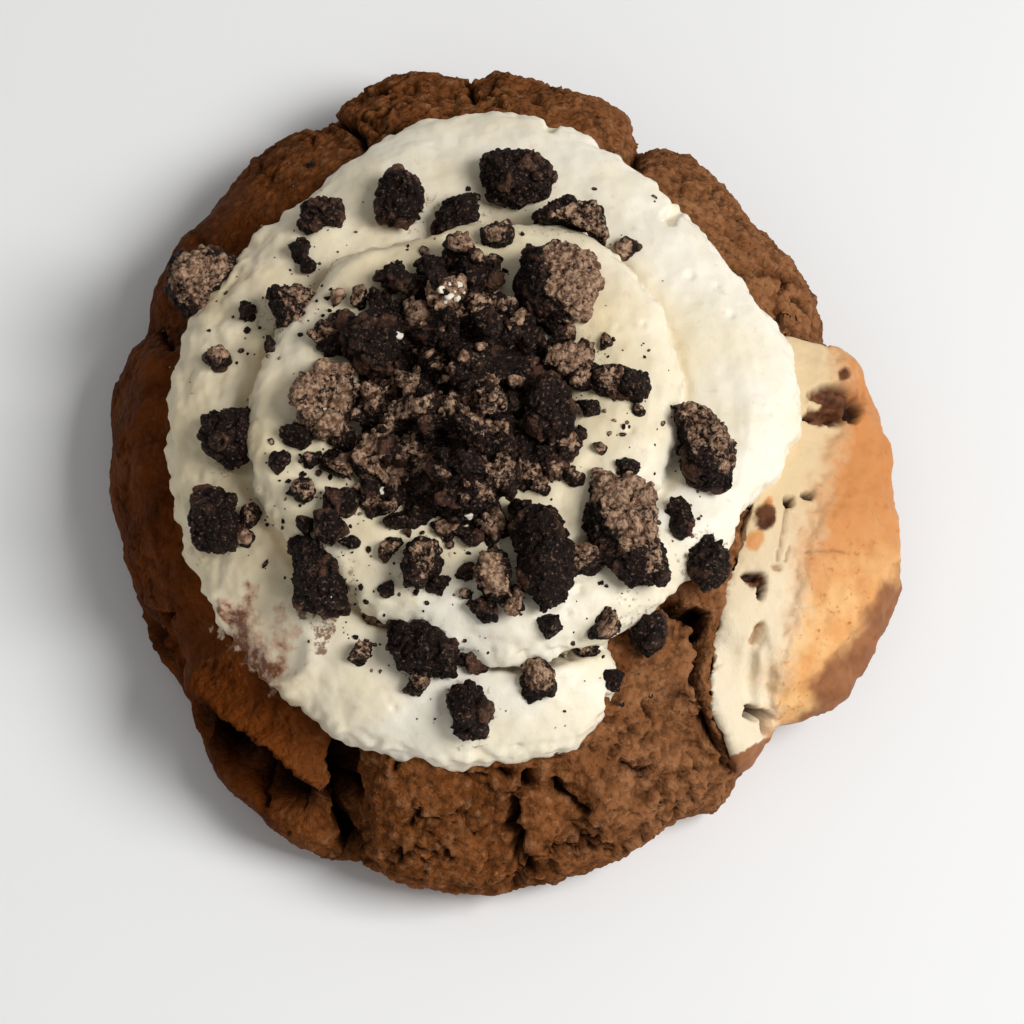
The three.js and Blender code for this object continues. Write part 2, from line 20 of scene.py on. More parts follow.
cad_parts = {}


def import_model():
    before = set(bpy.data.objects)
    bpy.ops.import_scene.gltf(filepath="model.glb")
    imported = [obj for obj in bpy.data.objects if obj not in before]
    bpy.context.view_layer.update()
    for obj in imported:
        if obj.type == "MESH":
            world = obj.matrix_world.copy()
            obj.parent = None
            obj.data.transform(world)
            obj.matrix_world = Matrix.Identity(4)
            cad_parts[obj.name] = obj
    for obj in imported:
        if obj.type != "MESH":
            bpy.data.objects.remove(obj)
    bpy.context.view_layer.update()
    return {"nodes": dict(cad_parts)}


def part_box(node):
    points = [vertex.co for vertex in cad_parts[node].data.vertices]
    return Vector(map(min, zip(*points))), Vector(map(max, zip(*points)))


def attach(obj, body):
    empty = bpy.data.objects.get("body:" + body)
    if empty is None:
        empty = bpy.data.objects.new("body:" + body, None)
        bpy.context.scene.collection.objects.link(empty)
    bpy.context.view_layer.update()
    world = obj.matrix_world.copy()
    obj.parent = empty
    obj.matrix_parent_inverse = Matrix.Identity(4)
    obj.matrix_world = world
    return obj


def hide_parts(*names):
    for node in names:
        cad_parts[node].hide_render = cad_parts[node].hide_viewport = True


log = logging.getLogger("cookie")

MM = 0.001
FULL_TURN = 360.0
DOWN = Vector((0.0, 0.0, -1.0))

# Points of a solid that are closer than this, in metres, are one point.
MERGE_DISTANCE = 1e-6

# Height in millimetres, well over the cookie, from which things are dropped on it.
DROP_HEIGHT = 60.0

BODY = "root"

# A range holds the value where an effect starts and the value where it is full, which may be the lower one.
Range = tuple[float, float]

# A pixel is a column and a row of the photograph, and a plan is a place or a direction seen from above.
Pixel = tuple[float, float]
Plan = tuple[float, float]

Colour = tuple[float, float, float, float]


def paint(red: int, green: int, blue: int) -> Colour:
    """Linear colour of a screen colour given from 0 to 255.

    Args:
        red: red share.
        green: green share.
        blue: blue share.

    Returns:
        The colour as the shaders take it, with full alpha.
    """
    shares = [value / 255 for value in (red, green, blue)]
    linear = [((s + 0.055) / 1.055) ** 2.4 if s > 0.04045 else s / 12.92 for s in shares]
    return (*linear, 1.0)


def smoothstep(values: np.ndarray, low: float, high: float) -> np.ndarray:
    """Smooth rise from 0 where values are at low to 1 at high.

    Args:
        values: numbers to grade.
        low: value that gives 0, which may be above high for a fall.
        high: value that gives 1.

    Returns:
        The grades.
    """
    share = np.clip((values - low) / (high - low), 0.0, 1.0)
    return share * share * (3.0 - 2.0 * share)


def line_distance(places: np.ndarray, line: Sequence[Pixel]) -> tuple[np.ndarray, np.ndarray]:
    """Distance of places on the photograph from a line drawn on it.

    Args:
        places: rows of pixel columns and rows.
        line: pixels that the line runs through.

    Returns:
        The distances, and which side each place is on: 1 to the right of the line as it runs, or -1.
    """
    nearest = np.full(len(places), np.inf)
    side = np.ones(len(places))
    for start, end in itertools.pairwise(np.asarray(line, float)):
        run = end - start
        offset = places - start
        share = np.clip(offset @ run / (run @ run), 0.0, 1.0)
        distance = np.linalg.norm(offset - share[:, None] * run, axis=1)
        closer = distance < nearest
        turn = np.sign(run[0] * offset[:, 1] - run[1] * offset[:, 0])
        side[closer] = turn[closer]
        nearest = np.minimum(nearest, distance)
    return nearest, side


class Noise:
    """Repeatable noise worked out for whole arrays of points."""

    ORDER = 256
    GAIN = 1.7
    SHIFT = 31.0

    def __init__(self, seed: int) -> None:
        """Shuffles the lattice.

        Args:
            seed: number that fixes the pattern.
        """
        draw = np.random.default_rng(seed)
        self.order = np.tile(draw.permutation(self.ORDER), 3)
        ways = draw.normal(size=(self.ORDER, 3))
        self.ways = ways / np.linalg.norm(ways, axis=1)[:, None]
        self.spots = draw.random((self.ORDER, 3))

    def _key(self, cells: np.ndarray) -> np.ndarray:
        """Lattice entry of each cell."""
        x, y, z = (cells % self.ORDER).T
        return self.order[self.order[self.order[x] + y] + z]

    def smooth(self, points: np.ndarray, size: float) -> np.ndarray:
        """Rolling noise, mostly between -1 and 1.

        Args:
            points: places in millimetres.
            size: distance from one swell to the next.

        Returns:
            One value for each point.
        """
        scaled = points / size
        base = np.floor(scaled).astype(int)
        inside = scaled - base
        fade = inside**3 * (inside * (inside * 6 - 15) + 10)
        total = np.zeros(len(points))
        for corner in itertools.product((0, 1), repeat=3):
            way = self.ways[self._key(base + corner)]
            weight = np.prod(np.where(corner, fade, 1 - fade), axis=1)
            total += weight * np.einsum("ij,ij->i", way, inside - corner)
        return total * self.GAIN

    def layered(self, points: np.ndarray, size: float, layers: int = 3) -> np.ndarray:
        """Rolling noise with finer and weaker layers over it.

        Args:
            points: places in millimetres.
            size: distance from swell to swell in the broadest layer.
            layers: number of layers, each half the size and height of the one before.

        Returns:
            One value for each point.
        """
        return sum(self.smooth(points, size / 2**layer) / 2**layer for layer in range(layers))

    def cells(self, points: np.ndarray, size: float) -> tuple[np.ndarray, np.ndarray, np.ndarray]:
        """Distances to the nearest two of some scattered spots.

        Args:
            points: places in millimetres.
            size: mean distance from spot to spot.

        Returns:
            The distance to the nearest spot and to the next one, both in spot distances, and a share from 0
            to 1 that is drawn for the nearest spot.
        """
        scaled = points / size
        base = np.floor(scaled).astype(int)
        nearest = np.full(len(points), np.inf)
        second = np.full(len(points), np.inf)
        drawn = np.zeros(len(points))
        for step in itertools.product((-1, 0, 1), repeat=3):
            cell = base + step
            key = self._key(cell)
            distance = np.linalg.norm(scaled - cell - self.spots[key], axis=1)
            second = np.minimum(second, np.maximum(nearest, distance))
            drawn = np.where(distance < nearest, key / self.ORDER, drawn)
            nearest = np.minimum(nearest, distance)
        return nearest, second, drawn

    def sway(self, points: np.ndarray, size: float, count: int) -> np.ndarray:
        """Rolling noise with several independent values.

        Args:
            points: places in millimetres.
            size: distance from one swell to the next.
            count: number of values.

        Returns:
            A row of values for each point.
        """
        shifts = [self.SHIFT * index for index in range(count)]
        return np.stack([self.smooth(points + shift, size) for shift in shifts], axis=1)


@dataclass(frozen=True)
class Relief:
    """Rolling relief: its height, its distance from swell to swell and the number of its layers."""

    height: float
    size: float
    layers: int = 1

    def at(self, points: np.ndarray, noise: Noise) -> np.ndarray:
        """Height at each point.

        Args:
            points: places in millimetres.
            noise: pattern.

        Returns:
            The heights, above and below 0.
        """
        return self.height * noise.layered(points, self.size, self.layers)


@dataclass(frozen=True)
class PhotoCamera:
    """Camera at the photograph's viewing angle."""

    aim: tuple[float, float, float] = (1.254, -2.35, 0.0)
    distance: float = 528.0
    elevation: float = 68.0
    lens: float = 150.0
    sensor: float = 36.0
    image: int = 1024
    near: float = 10.0

    @property
    def axes(self) -> tuple[np.ndarray, np.ndarray, np.ndarray]:
        """Right, up and backward directions of the camera."""
        tilt = math.radians(self.elevation)
        up = np.array((0.0, math.sin(tilt), math.cos(tilt)))
        back = np.array((0.0, -math.cos(tilt), math.sin(tilt)))
        return np.array((1.0, 0.0, 0.0)), up, back

    @property
    def eye(self) -> np.ndarray:
        """Place of the camera in millimetres."""
        return np.array(self.aim) + self.axes[2] * self.distance

    @property
    def focal(self) -> float:
        """Lens length in pixels of the image."""
        return self.image * self.lens / self.sensor

    def pixels(self, points: np.ndarray) -> np.ndarray:
        """Where points show on the photograph.

        Args:
            points: places in millimetres.

        Returns:
            Rows of pixel column and row.
        """
        right, up, back = self.axes
        offset = points - self.eye
        depth = -(offset @ back)
        column = self.image / 2 + self.focal * (offset @ right) / depth
        row = self.image / 2 - self.focal * (offset @ up) / depth
        return np.stack((column, row), axis=1)

    def sight(self, pixel: Pixel) -> tuple[Vector, Vector]:
        """Line of sight through a pixel.

        Args:
            pixel: column and row.

        Returns:
            The camera's place in metres and the direction.
        """
        right, up, back = self.axes
        across = (pixel[0] - self.image / 2) / self.focal
        rise = (self.image / 2 - pixel[1]) / self.focal
        return Vector(self.eye * MM), Vector(right * across + up * rise - back).normalized()

    def add(self) -> None:
        """Puts the camera in the scene."""
        data = bpy.data.cameras.new("photo_camera")
        data.lens = self.lens
        data.sensor_width = self.sensor
        data.clip_start = self.near * MM
        camera = bpy.data.objects.new("photo_camera", data)
        bpy.context.scene.collection.objects.link(camera)
        camera.location = Vector(self.eye * MM)
        camera.rotation_euler = Euler((math.radians(90 - self.elevation), 0.0, 0.0))
        bpy.context.scene.camera = camera


CAMERA = PhotoCamera()


class Sculpture:
    """A piece's mesh held as arrays in millimetres while its points are moved."""

    FACING: Range = (-0.15, 0.15)

    def __init__(self, piece: bpy.types.Object) -> None:
        """Reads the piece's points.

        Args:
            piece: mesh object at the origin.
        """
        self.mesh = piece.data
        flat = np.empty(len(self.mesh.vertices) * 3, np.float32)
        self.mesh.vertices.foreach_get("co", flat)
        self.points = flat.reshape(-1, 3).astype(float) / MM

    def store(self) -> None:
        """Writes the points back to the mesh."""
        self.mesh.vertices.foreach_set("co", (self.points * MM).astype(np.float32).ravel())
        self.mesh.update()

    def normals(self) -> np.ndarray:
        """Outward direction at each point."""
        self.store()
        flat = np.empty(len(self.mesh.vertices) * 3, np.float32)
        self.mesh.vertex_normals.foreach_get("vector", flat)
        return flat.reshape(-1, 3).astype(float)

    def push(self, distance: np.ndarray, ways: np.ndarray) -> None:
        """Moves each point by its distance along its direction."""
        self.points += distance[:, None] * ways

    def mask(self, name: str, values: np.ndarray) -> None:
        """Keeps one value from 0 to 1 for each point, for the materials to read.

        Args:
            name: attribute name.
            values: one number for each point.
        """
        attribute = self.mesh.attributes.get(name) or self.mesh.attributes.new(name, "FLOAT", "POINT")
        attribute.data.foreach_set("value", np.clip(values, 0.0, 1.0).astype(np.float32))

    def seen(self, normals: np.ndarray) -> np.ndarray:
        """How far each point faces the photograph's camera, from 0 to 1."""
        return smoothstep(normals @ CAMERA.axes[2], *self.FACING)


def merged_copy(node: bpy.types.Object, name: str) -> bpy.types.Object:
    """New piece with a node's shape, its loose triangles joined.

    Args:
        node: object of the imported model.
        name: name of the new piece.

    Returns:
        The new object.
    """
    shape = bmesh.new()
    shape.from_mesh(node.data)
    bmesh.ops.remove_doubles(shape, verts=shape.verts, dist=MERGE_DISTANCE)
    return new_piece(shape, name)


def new_piece(shape: bmesh.types.BMesh, name: str) -> bpy.types.Object:
    """Object made from a finished bmesh, which is freed.

    Args:
        shape: the bmesh, in metres.
        name: name of the piece.

    Returns:
        The object, linked to the scene.
    """
    mesh = bpy.data.meshes.new(name)
    shape.to_mesh(mesh)
    shape.free()
    piece = bpy.data.objects.new(name, mesh)
    bpy.context.scene.collection.objects.link(piece)
    return piece


def even_mesh(piece: bpy.types.Object, voxel: float, smoothing: int) -> None:
    """Gives a piece evenly spread faces with its parts fused and its facets smoothed.

    Args:
        piece: object of one or more closed shapes.
        voxel: size of the new faces in millimetres.
        smoothing: number of smoothing passes.
    """
    relaxing = 0.5
    remesh = piece.modifiers.new("even", "REMESH")
    remesh.mode = "VOXEL"
    remesh.voxel_size = voxel * MM
    if smoothing:
        smooth = piece.modifiers.new("smooth", "SMOOTH")
        smooth.iterations = smoothing
        smooth.factor = relaxing
    graph = bpy.context.evaluated_depsgraph_get()
    mesh = bpy.data.meshes.new_from_object(piece.evaluated_get(graph))
    piece.modifiers.clear()
    old = piece.data
    piece.data = mesh
    bpy.data.meshes.remove(old)


def search_tree(*pieces: bpy.types.Object) -> BVHTree:
    """Tree for finding where rays meet some pieces.

    Args:
        pieces: mesh objects at the origin.

    Returns:
        The search tree over all of them, in metres.
    """
    shape = bmesh.new()
    for piece in pieces:
        shape.from_mesh(piece.data)
    tree = BVHTree.FromBMesh(shape)
    shape.free()
    return tree


def dropped(ground: BVHTree, x: float, y: float) -> Vector | None:
    """Highest place of some pieces over a spot of their plan.

    Args:
        ground: search tree of the pieces.
        x: spot across, in millimetres.
        y: spot in depth, in millimetres.

    Returns:
        The place in metres, or None beside the pieces.
    """
    place, *_ = ground.ray_cast(Vector((x, y, DROP_HEIGHT)) * MM, DOWN)
    return place


def pictured(ground: BVHTree, pixel: Pixel) -> Vector | None:
    """Place of some pieces that shows at a pixel of the photograph.

    Args:
        ground: search tree of the pieces.
        pixel: column and row.

    Returns:
        The place in metres, or None beside the pieces.
    """
    eye, way = CAMERA.sight(pixel)
    place, *_ = ground.ray_cast(eye, way)
    return place


def upward(height: float) -> Vector:
    """Step up by a height in millimetres, as the meshes take it."""
    return Vector((0.0, 0.0, height * MM))


def finish_piece(
    piece: bpy.types.Object, nodes: Iterable[str], material: bpy.types.Material
) -> None:
    """Hands a built piece to the frame.

    Args:
        piece: finished mesh object.
        nodes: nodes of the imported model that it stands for.
        material: its finish.
    """
    piece.data.shade_smooth()
    piece.data.materials.clear()
    piece.data.materials.append(material)
    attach(piece, BODY)
    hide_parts(*nodes)
    triangles = sum(len(face.vertices) - 2 for face in piece.data.polygons)
    log.info("%s: %d triangles", piece.name, triangles)


class Graph:
    """Adds nodes to one shader tree and joins them."""

    def __init__(self, tree: bpy.types.NodeTree) -> None:
        """Keeps the tree to add to."""
        self.tree = tree

    def add(self, kind: str, inputs: dict[str, Any] | None = None, **settings: Any) -> bpy.types.Node:
        """New node.

        Args:
            kind: Blender's name for the node type.
            inputs: values or sockets for its inputs, by socket name.
            settings: properties of the node.

        Returns:
            The node.
        """
        made = self.tree.nodes.new(kind)
        for name, value in settings.items():
            setattr(made, name, value)
        for name, value in (inputs or {}).items():
            self.feed(made.inputs[name], value)
        return made

    def feed(self, socket: bpy.types.NodeSocket, value: Any) -> None:
        """Links a socket to another, or sets its value."""
        if isinstance(value, bpy.types.NodeSocket):
            self.tree.links.new(value, socket)
        else:
            socket.default_value = value

    def mix(self, factor: Any, first: Any, second: Any) -> bpy.types.NodeSocket:
        """Blend of two colours.

        Args:
            factor: share of the second.
            first: colour or socket.
            second: colour or socket.

        Returns:
            The colour socket.
        """
        made = self.add("ShaderNodeMix", data_type="RGBA")
        colours = [socket for socket in made.inputs if socket.type == "RGBA"]
        self.feed(made.inputs[0], factor)
        self.feed(colours[0], first)
        self.feed(colours[1], second)
        return next(socket for socket in made.outputs if socket.type == "RGBA")

    def ramp(
        self, value: Any, low: float, high: float, bottom: float = 0.0, top: float = 1.0
    ) -> bpy.types.NodeSocket:
        """Smooth grade of a value.

        Args:
            value: number socket.
            low: value that gives bottom.
            high: value that gives top.
            bottom: result at low.
            top: result at high.

        Returns:
            The result socket.
        """
        limits = {"Value": value, "From Min": low, "From Max": high, "To Min": bottom, "To Max": top}
        return self.add("ShaderNodeMapRange", limits, interpolation_type="SMOOTHSTEP").outputs["Result"]

    def math(self, operation: str, first: Any, second: Any) -> bpy.types.NodeSocket:
        """Sum, product or other result of two numbers."""
        made = self.add("ShaderNodeMath", operation=operation)
        self.feed(made.inputs[0], first)
        self.feed(made.inputs[1], second)
        return made.outputs[0]

    def scaled(self, value: Any, share: float) -> bpy.types.NodeSocket:
        """Product of a number socket and a share."""
        return self.math("MULTIPLY", value, share)

    def place(self) -> bpy.types.NodeSocket:
        """Object coordinates."""
        return self.add("ShaderNodeTexCoord").outputs["Object"]

    def mask(self, name: str) -> bpy.types.NodeSocket:
        """A value that the mesh keeps at each point."""
        return self.add("ShaderNodeAttribute", attribute_name=name).outputs["Fac"]

    def noise(self, scale: Any, detail: float, roughness: float = 0.55) -> bpy.types.NodeSocket:
        """Cloudy noise on Object coordinates.

        Args:
            scale: swells to the metre.
            detail: number of finer layers.
            roughness: strength of the finer layers.

        Returns:
            The noise, from 0 to 1.
        """
        inputs = {"Vector": self.place(), "Scale": scale, "Detail": detail, "Roughness": roughness}
        return self.add("ShaderNodeTexNoise", inputs).outputs["Fac"]

    def group(self, tree: bpy.types.NodeTree, inputs: dict[str, Any]) -> bpy.types.Node:
        """Places a shared effect.

        Args:
            tree: the effect's node group.
            inputs: values or sockets for its inputs.

        Returns:
            The group node.
        """
        made = self.tree.nodes.new("ShaderNodeGroup")
        made.node_tree = tree
        for name, value in inputs.items():
            self.feed(made.inputs[name], value)
        return made

    def bump(self, shader: bpy.types.Node, height: Any, strength: float, distance: float) -> None:
        """Gives a shader fine relief.

        Args:
            shader: principled shader.
            height: height socket.
            strength: share of the relief that shows.
            distance: height of the relief in millimetres.
        """
        inputs = {"Height": height, "Strength": strength, "Distance": distance * MM}
        made = self.add("ShaderNodeBump", inputs)
        self.feed(shader.inputs["Normal"], made.outputs["Normal"])


@dataclass(frozen=True)
class Mottle:
    """Two colours that change into each other in clouds, and the number of clouds to the metre."""

    base: Colour
    cloud: Colour
    scale: float


class Effects:
    """Shader effects that several finishes share."""

    def __init__(self) -> None:
        """Builds the groups."""
        self._mottle_group = self._mottle()
        self._grain_group = self._grain()
        self._speckle_group = self._speckle()

    def mottled(self, graph: Graph, colours: Mottle) -> bpy.types.NodeSocket:
        """Cloudy colour.

        Args:
            graph: the material's graph.
            colours: the two colours.

        Returns:
            The colour socket.
        """
        inputs = {"Base": colours.base, "Cloud": colours.cloud, "Scale": colours.scale}
        return graph.group(self._mottle_group, inputs).outputs["Color"]

    def grains(self, graph: Graph, scale: float) -> bpy.types.NodeSocket:
        """Height of baked crumb.

        Args:
            graph: the material's graph.
            scale: grains to the metre.

        Returns:
            The height socket.
        """
        return graph.group(self._grain_group, {"Scale": scale}).outputs["Height"]

    def specks(self, graph: Graph, scale: float, amount: Any) -> bpy.types.NodeSocket:
        """Mask of small ragged specks.

        Args:
            graph: the material's graph.
            scale: specks to the metre.
            amount: number or socket, higher for more specks.

        Returns:
            The mask socket, from 0 to 1.
        """
        return graph.group(self._speckle_group, {"Scale": scale, "Amount": amount}).outputs["Mask"]

    @staticmethod
    def _start(name: str, inputs: dict[str, str], outputs: dict[str, str]) -> tuple[Graph, Any, Any]:
        """Empty group with named sockets.

        Args:
            name: group name.
            inputs: socket types by input name.
            outputs: socket types by output name.

        Returns:
            The graph, its input node and its output node.
        """
        tree = bpy.data.node_groups.new(name, "ShaderNodeTree")
        for socket, kind in inputs.items():
            tree.interface.new_socket(socket, in_out="INPUT", socket_type=kind)
        for socket, kind in outputs.items():
            tree.interface.new_socket(socket, in_out="OUTPUT", socket_type=kind)
        graph = Graph(tree)
        return graph, graph.add("NodeGroupInput"), graph.add("NodeGroupOutput")

    def _mottle(self) -> bpy.types.NodeTree:
        """Cloudy change from one colour to another."""
        kinds = {"Base": "NodeSocketColor", "Cloud": "NodeSocketColor", "Scale": "NodeSocketFloat"}
        graph, given, result = self._start("mottle", kinds, {"Color": "NodeSocketColor"})
        cloud = graph.ramp(graph.noise(given.outputs["Scale"], detail=4.0), low=0.35, high=0.65)
        mixed = graph.mix(cloud, given.outputs["Base"], given.outputs["Cloud"])
        graph.feed(result.inputs["Color"], mixed)
        return graph.tree

    def _grain(self) -> bpy.types.NodeTree:
        """Height of baked crumb: rounded grains with finer roughness over them."""
        number = "NodeSocketFloat"
        graph, given, result = self._start("grain", {"Scale": number}, {"Height": number})
        scale = given.outputs["Scale"]
        beads = graph.add("ShaderNodeTexVoronoi", {"Vector": graph.place(), "Scale": scale})
        bead = graph.scaled(beads.outputs["Distance"], 0.7)
        fine = graph.noise(graph.scaled(scale, 1.7), detail=3.0, roughness=0.6)
        graph.feed(result.inputs["Height"], graph.math("SUBTRACT", fine, bead))
        return graph.tree

    def _speckle(self) -> bpy.types.NodeTree:
        """Mask of small ragged specks, more of them where Amount is higher."""
        kinds = {"Scale": "NodeSocketFloat", "Amount": "NodeSocketFloat"}
        graph, given, result = self._start("speckle", kinds, {"Mask": "NodeSocketFloat"})
        noise = graph.noise(given.outputs["Scale"], detail=3.0, roughness=0.65)
        level = graph.math("ADD", noise, graph.scaled(given.outputs["Amount"], 0.5))
        graph.feed(result.inputs["Mask"], graph.ramp(level, low=0.76, high=0.92))
        return graph.tree


def new_material(name: str) -> tuple[bpy.types.Material, Graph, bpy.types.Node]:
    """Material with an empty principled shader.

    Args:
        name: material name.

    Returns:
        The material, its graph and its shader node.
    """
    material = bpy.data.materials.new(name)
    material.use_nodes = True
    shader = material.node_tree.nodes["Principled BSDF"]
    return material, Graph(material.node_tree), shader


@dataclass(frozen=True)
class DoughFinish:
    """Baked chocolate dough: matte crumb in front, painted lighter on the right side, fudgy and darker to
    the left.
    """

    crumb: Mottle = Mottle(paint(130, 78, 41), paint(106, 60, 27), 260.0)
    # Painted light: the right side, towards the lamp, is painted paler.
    lit_right: Mottle = Mottle(paint(152, 102, 66), paint(126, 80, 47), 320.0)
    fudge: Mottle = Mottle(paint(104, 50, 11), paint(74, 32, 4), 170.0)
    # Painted highlight colour for specks and raised crumb.
    light: Colour = paint(168, 121, 84)
    # Painted shade in cracks, splits, pits and the gap under the ledge.
    hollow_shade: Colour = paint(18, 7, 2)
    cream: Colour = paint(214, 188, 160)

    def material(self, effects: Effects) -> bpy.types.Material:
        """Builds the material.

        Args:
            effects: shared groups.

        Returns:
            The material, which reads the masks fudge, smear and raised, the mask of painted light on the
            right side and the mask of painted shade in hollows.
        """
        material, graph, shader = new_material("chocolate_dough")
        fudge, hollow_shade, raised = (graph.mask(name) for name in ("fudge", "hollow_shade", "raised"))
        height = effects.grains(graph, scale=1000.0)
        specks = effects.specks(graph, scale=1100.0, amount=0.4)
        # Painted shade in the pits between grains.
        pitted = graph.ramp(height, low=0.12, high=-0.08, top=0.4)
        body = effects.mottled(graph, self.crumb)
        # Painted light that makes the right side paler.
        body = graph.mix(graph.mask("lit_right"), body, effects.mottled(graph, self.lit_right))
        # Painted highlights on specks.
        body = graph.mix(graph.scaled(specks, 0.6), body, self.light)
        body = graph.mix(pitted, body, self.hollow_shade)
        body = graph.mix(graph.scaled(fudge, 0.9), body, effects.mottled(graph, self.fudge))
        # Painted highlights on raised crumb.
        body = graph.mix(graph.scaled(raised, 0.5), body, self.light)
        # Painted shade in cracks, splits, pits and the gap.
        body = graph.mix(hollow_shade, body, self.hollow_shade)
        cloud = graph.noise(scale=900.0, detail=5.0, roughness=0.65)
        cloud = graph.ramp(cloud, low=0.3, high=0.7, bottom=-0.4, top=0.4)
        frayed = graph.ramp(graph.math("ADD", graph.mask("smear"), cloud), low=0.3, high=1.1)
        gloss = graph.math("MULTIPLY", fudge, graph.noise(scale=240.0, detail=3.0))
        graph.feed(shader.inputs["Base Color"], graph.mix(frayed, body, self.cream))
        graph.feed(shader.inputs["Roughness"], graph.ramp(gloss, low=0.0, high=0.7, bottom=0.8, top=0.5))
        graph.bump(shader, height, strength=0.9, distance=0.5)
        shader.inputs["Specular IOR Level"].default_value = 0.03
        return material


@dataclass(frozen=True)
class PaleFinish:
    """Pale dough: ivory where it is broken open, toasted where its skin baked."""

    ivory: Mottle = Mottle(paint(233, 221, 197), paint(230, 212, 180), 60.0)
    toast: Mottle = Mottle(paint(237, 188, 126), paint(222, 160, 98), 240.0)
    brown: Mottle = Mottle(paint(136, 86, 52), paint(156, 102, 64), 400.0)
    cocoa: Mottle = Mottle(paint(110, 66, 38), paint(78, 42, 20), 500.0)
    upper_ivory: Colour = paint(220, 193, 151)
    upper_toast: Colour = paint(202, 134, 76)
    speck: Colour = paint(196, 122, 64)
    # Painted shade in holes.
    hollow_shade: Colour = paint(44, 22, 8)

    def material(self, effects: Effects) -> bpy.types.Material:
        """Builds the material.

        Args:
            effects: shared groups.

        Returns:
            The material, which reads the masks upper, toast, brown and cocoa, and the mask of painted shade
            in holes.
        """
        material, graph, shader = new_material("pale_dough")
        upper, toast, hollow_shade = (graph.mask(name) for name in ("upper", "toast", "hollow_shade"))
        ivory = graph.mix(upper, effects.mottled(graph, self.ivory), self.upper_ivory)
        skin = graph.mix(upper, effects.mottled(graph, self.toast), self.upper_toast)
        specks = effects.specks(graph, scale=1000.0, amount=0.38)
        body = graph.mix(toast, ivory, skin)
        body = graph.mix(graph.math("MULTIPLY", specks, toast), body, self.speck)
        # Browned dough, and painted shade along hairline cracks.
        body = graph.mix(graph.mask("brown"), body, effects.mottled(graph, self.brown))
        body = graph.mix(graph.mask("cocoa"), body, effects.mottled(graph, self.cocoa))
        gloss = graph.noise(scale=300.0, detail=3.0)
        gloss = graph.ramp(gloss, low=0.3, high=0.7, bottom=0.5, top=0.7)
        # Painted shade in holes.
        graph.feed(shader.inputs["Base Color"], graph.mix(hollow_shade, body, self.hollow_shade))
        graph.feed(shader.inputs["Roughness"], gloss)
        graph.bump(shader, effects.grains(graph, scale=900.0), strength=0.4, distance=0.3)
        shader.inputs["Specular IOR Level"].default_value = 0.2
        shader.inputs["Subsurface Weight"].default_value = 0.12
        shader.inputs["Subsurface Radius"].default_value = (1.0, 0.6, 0.3)
        shader.inputs["Subsurface Scale"].default_value = 1.2 * MM
        return material


@dataclass(frozen=True)
class CreamFinish:
    """Whipped cream, thin enough at one edge for the dough to show through."""

    white: Mottle = Mottle(paint(244, 236, 218), paint(239, 228, 201), 80.0)
    # Painted yellowish shade on the left of the cream and round the heap.
    shade_tint: Colour = paint(230, 209, 162)
    haze: Colour = paint(212, 176, 146)
    under: Colour = paint(118, 66, 30)
    # Painted shade in the crease under the second turn's front edge.
    crease: Colour = paint(138, 118, 88)
    smudge: Colour = paint(128, 88, 64)

    def material(self, effects: Effects) -> bpy.types.Material:
        """Builds the material.

        Args:
            effects: shared groups.

        Returns:
            The material, which reads the masks thin and smudge, the mask of painted yellowish shade and the
            mask of painted shade in the crease.
        """
        material, graph, shader = new_material("cream")
        smudge = graph.mask("smudge")
        cloud = graph.noise(scale=700.0, detail=6.0, roughness=0.65)
        cloud = graph.ramp(cloud, low=0.25, high=0.75, bottom=-0.4, top=0.4)
        torn = graph.math("ADD", graph.mask("thin"), cloud)
        # Painted yellowish shade.
        body = graph.mix(graph.mask("shade_tint"), effects.mottled(graph, self.white), self.shade_tint)
        body = graph.mix(graph.ramp(torn, low=0.15, high=0.8), body, self.haze)
        body = graph.mix(graph.ramp(torn, low=0.65, high=1.15), body, self.under)
        # Painted shade in the crease.
        body = graph.mix(graph.mask("crease"), body, self.crease)
        specks = effects.specks(graph, scale=1300.0, amount=smudge)
        dusty = graph.math("MULTIPLY", specks, graph.ramp(smudge, low=0.0, high=0.7, top=0.9))
        gloss = graph.noise(scale=500.0, detail=2.0)
        gloss = graph.ramp(gloss, low=0.3, high=0.7, bottom=0.42, top=0.56)
        graph.feed(shader.inputs["Base Color"], graph.mix(dusty, body, self.smudge))
        graph.feed(shader.inputs["Roughness"], gloss)
        graph.bump(shader, graph.noise(scale=1100.0, detail=3.0), strength=0.25, distance=0.3)
        shader.inputs["Subsurface Weight"].default_value = 0.2
        shader.inputs["Subsurface Radius"].default_value = (1.0, 0.85, 0.5)
        shader.inputs["Subsurface Scale"].default_value = 1.6 * MM
        return material


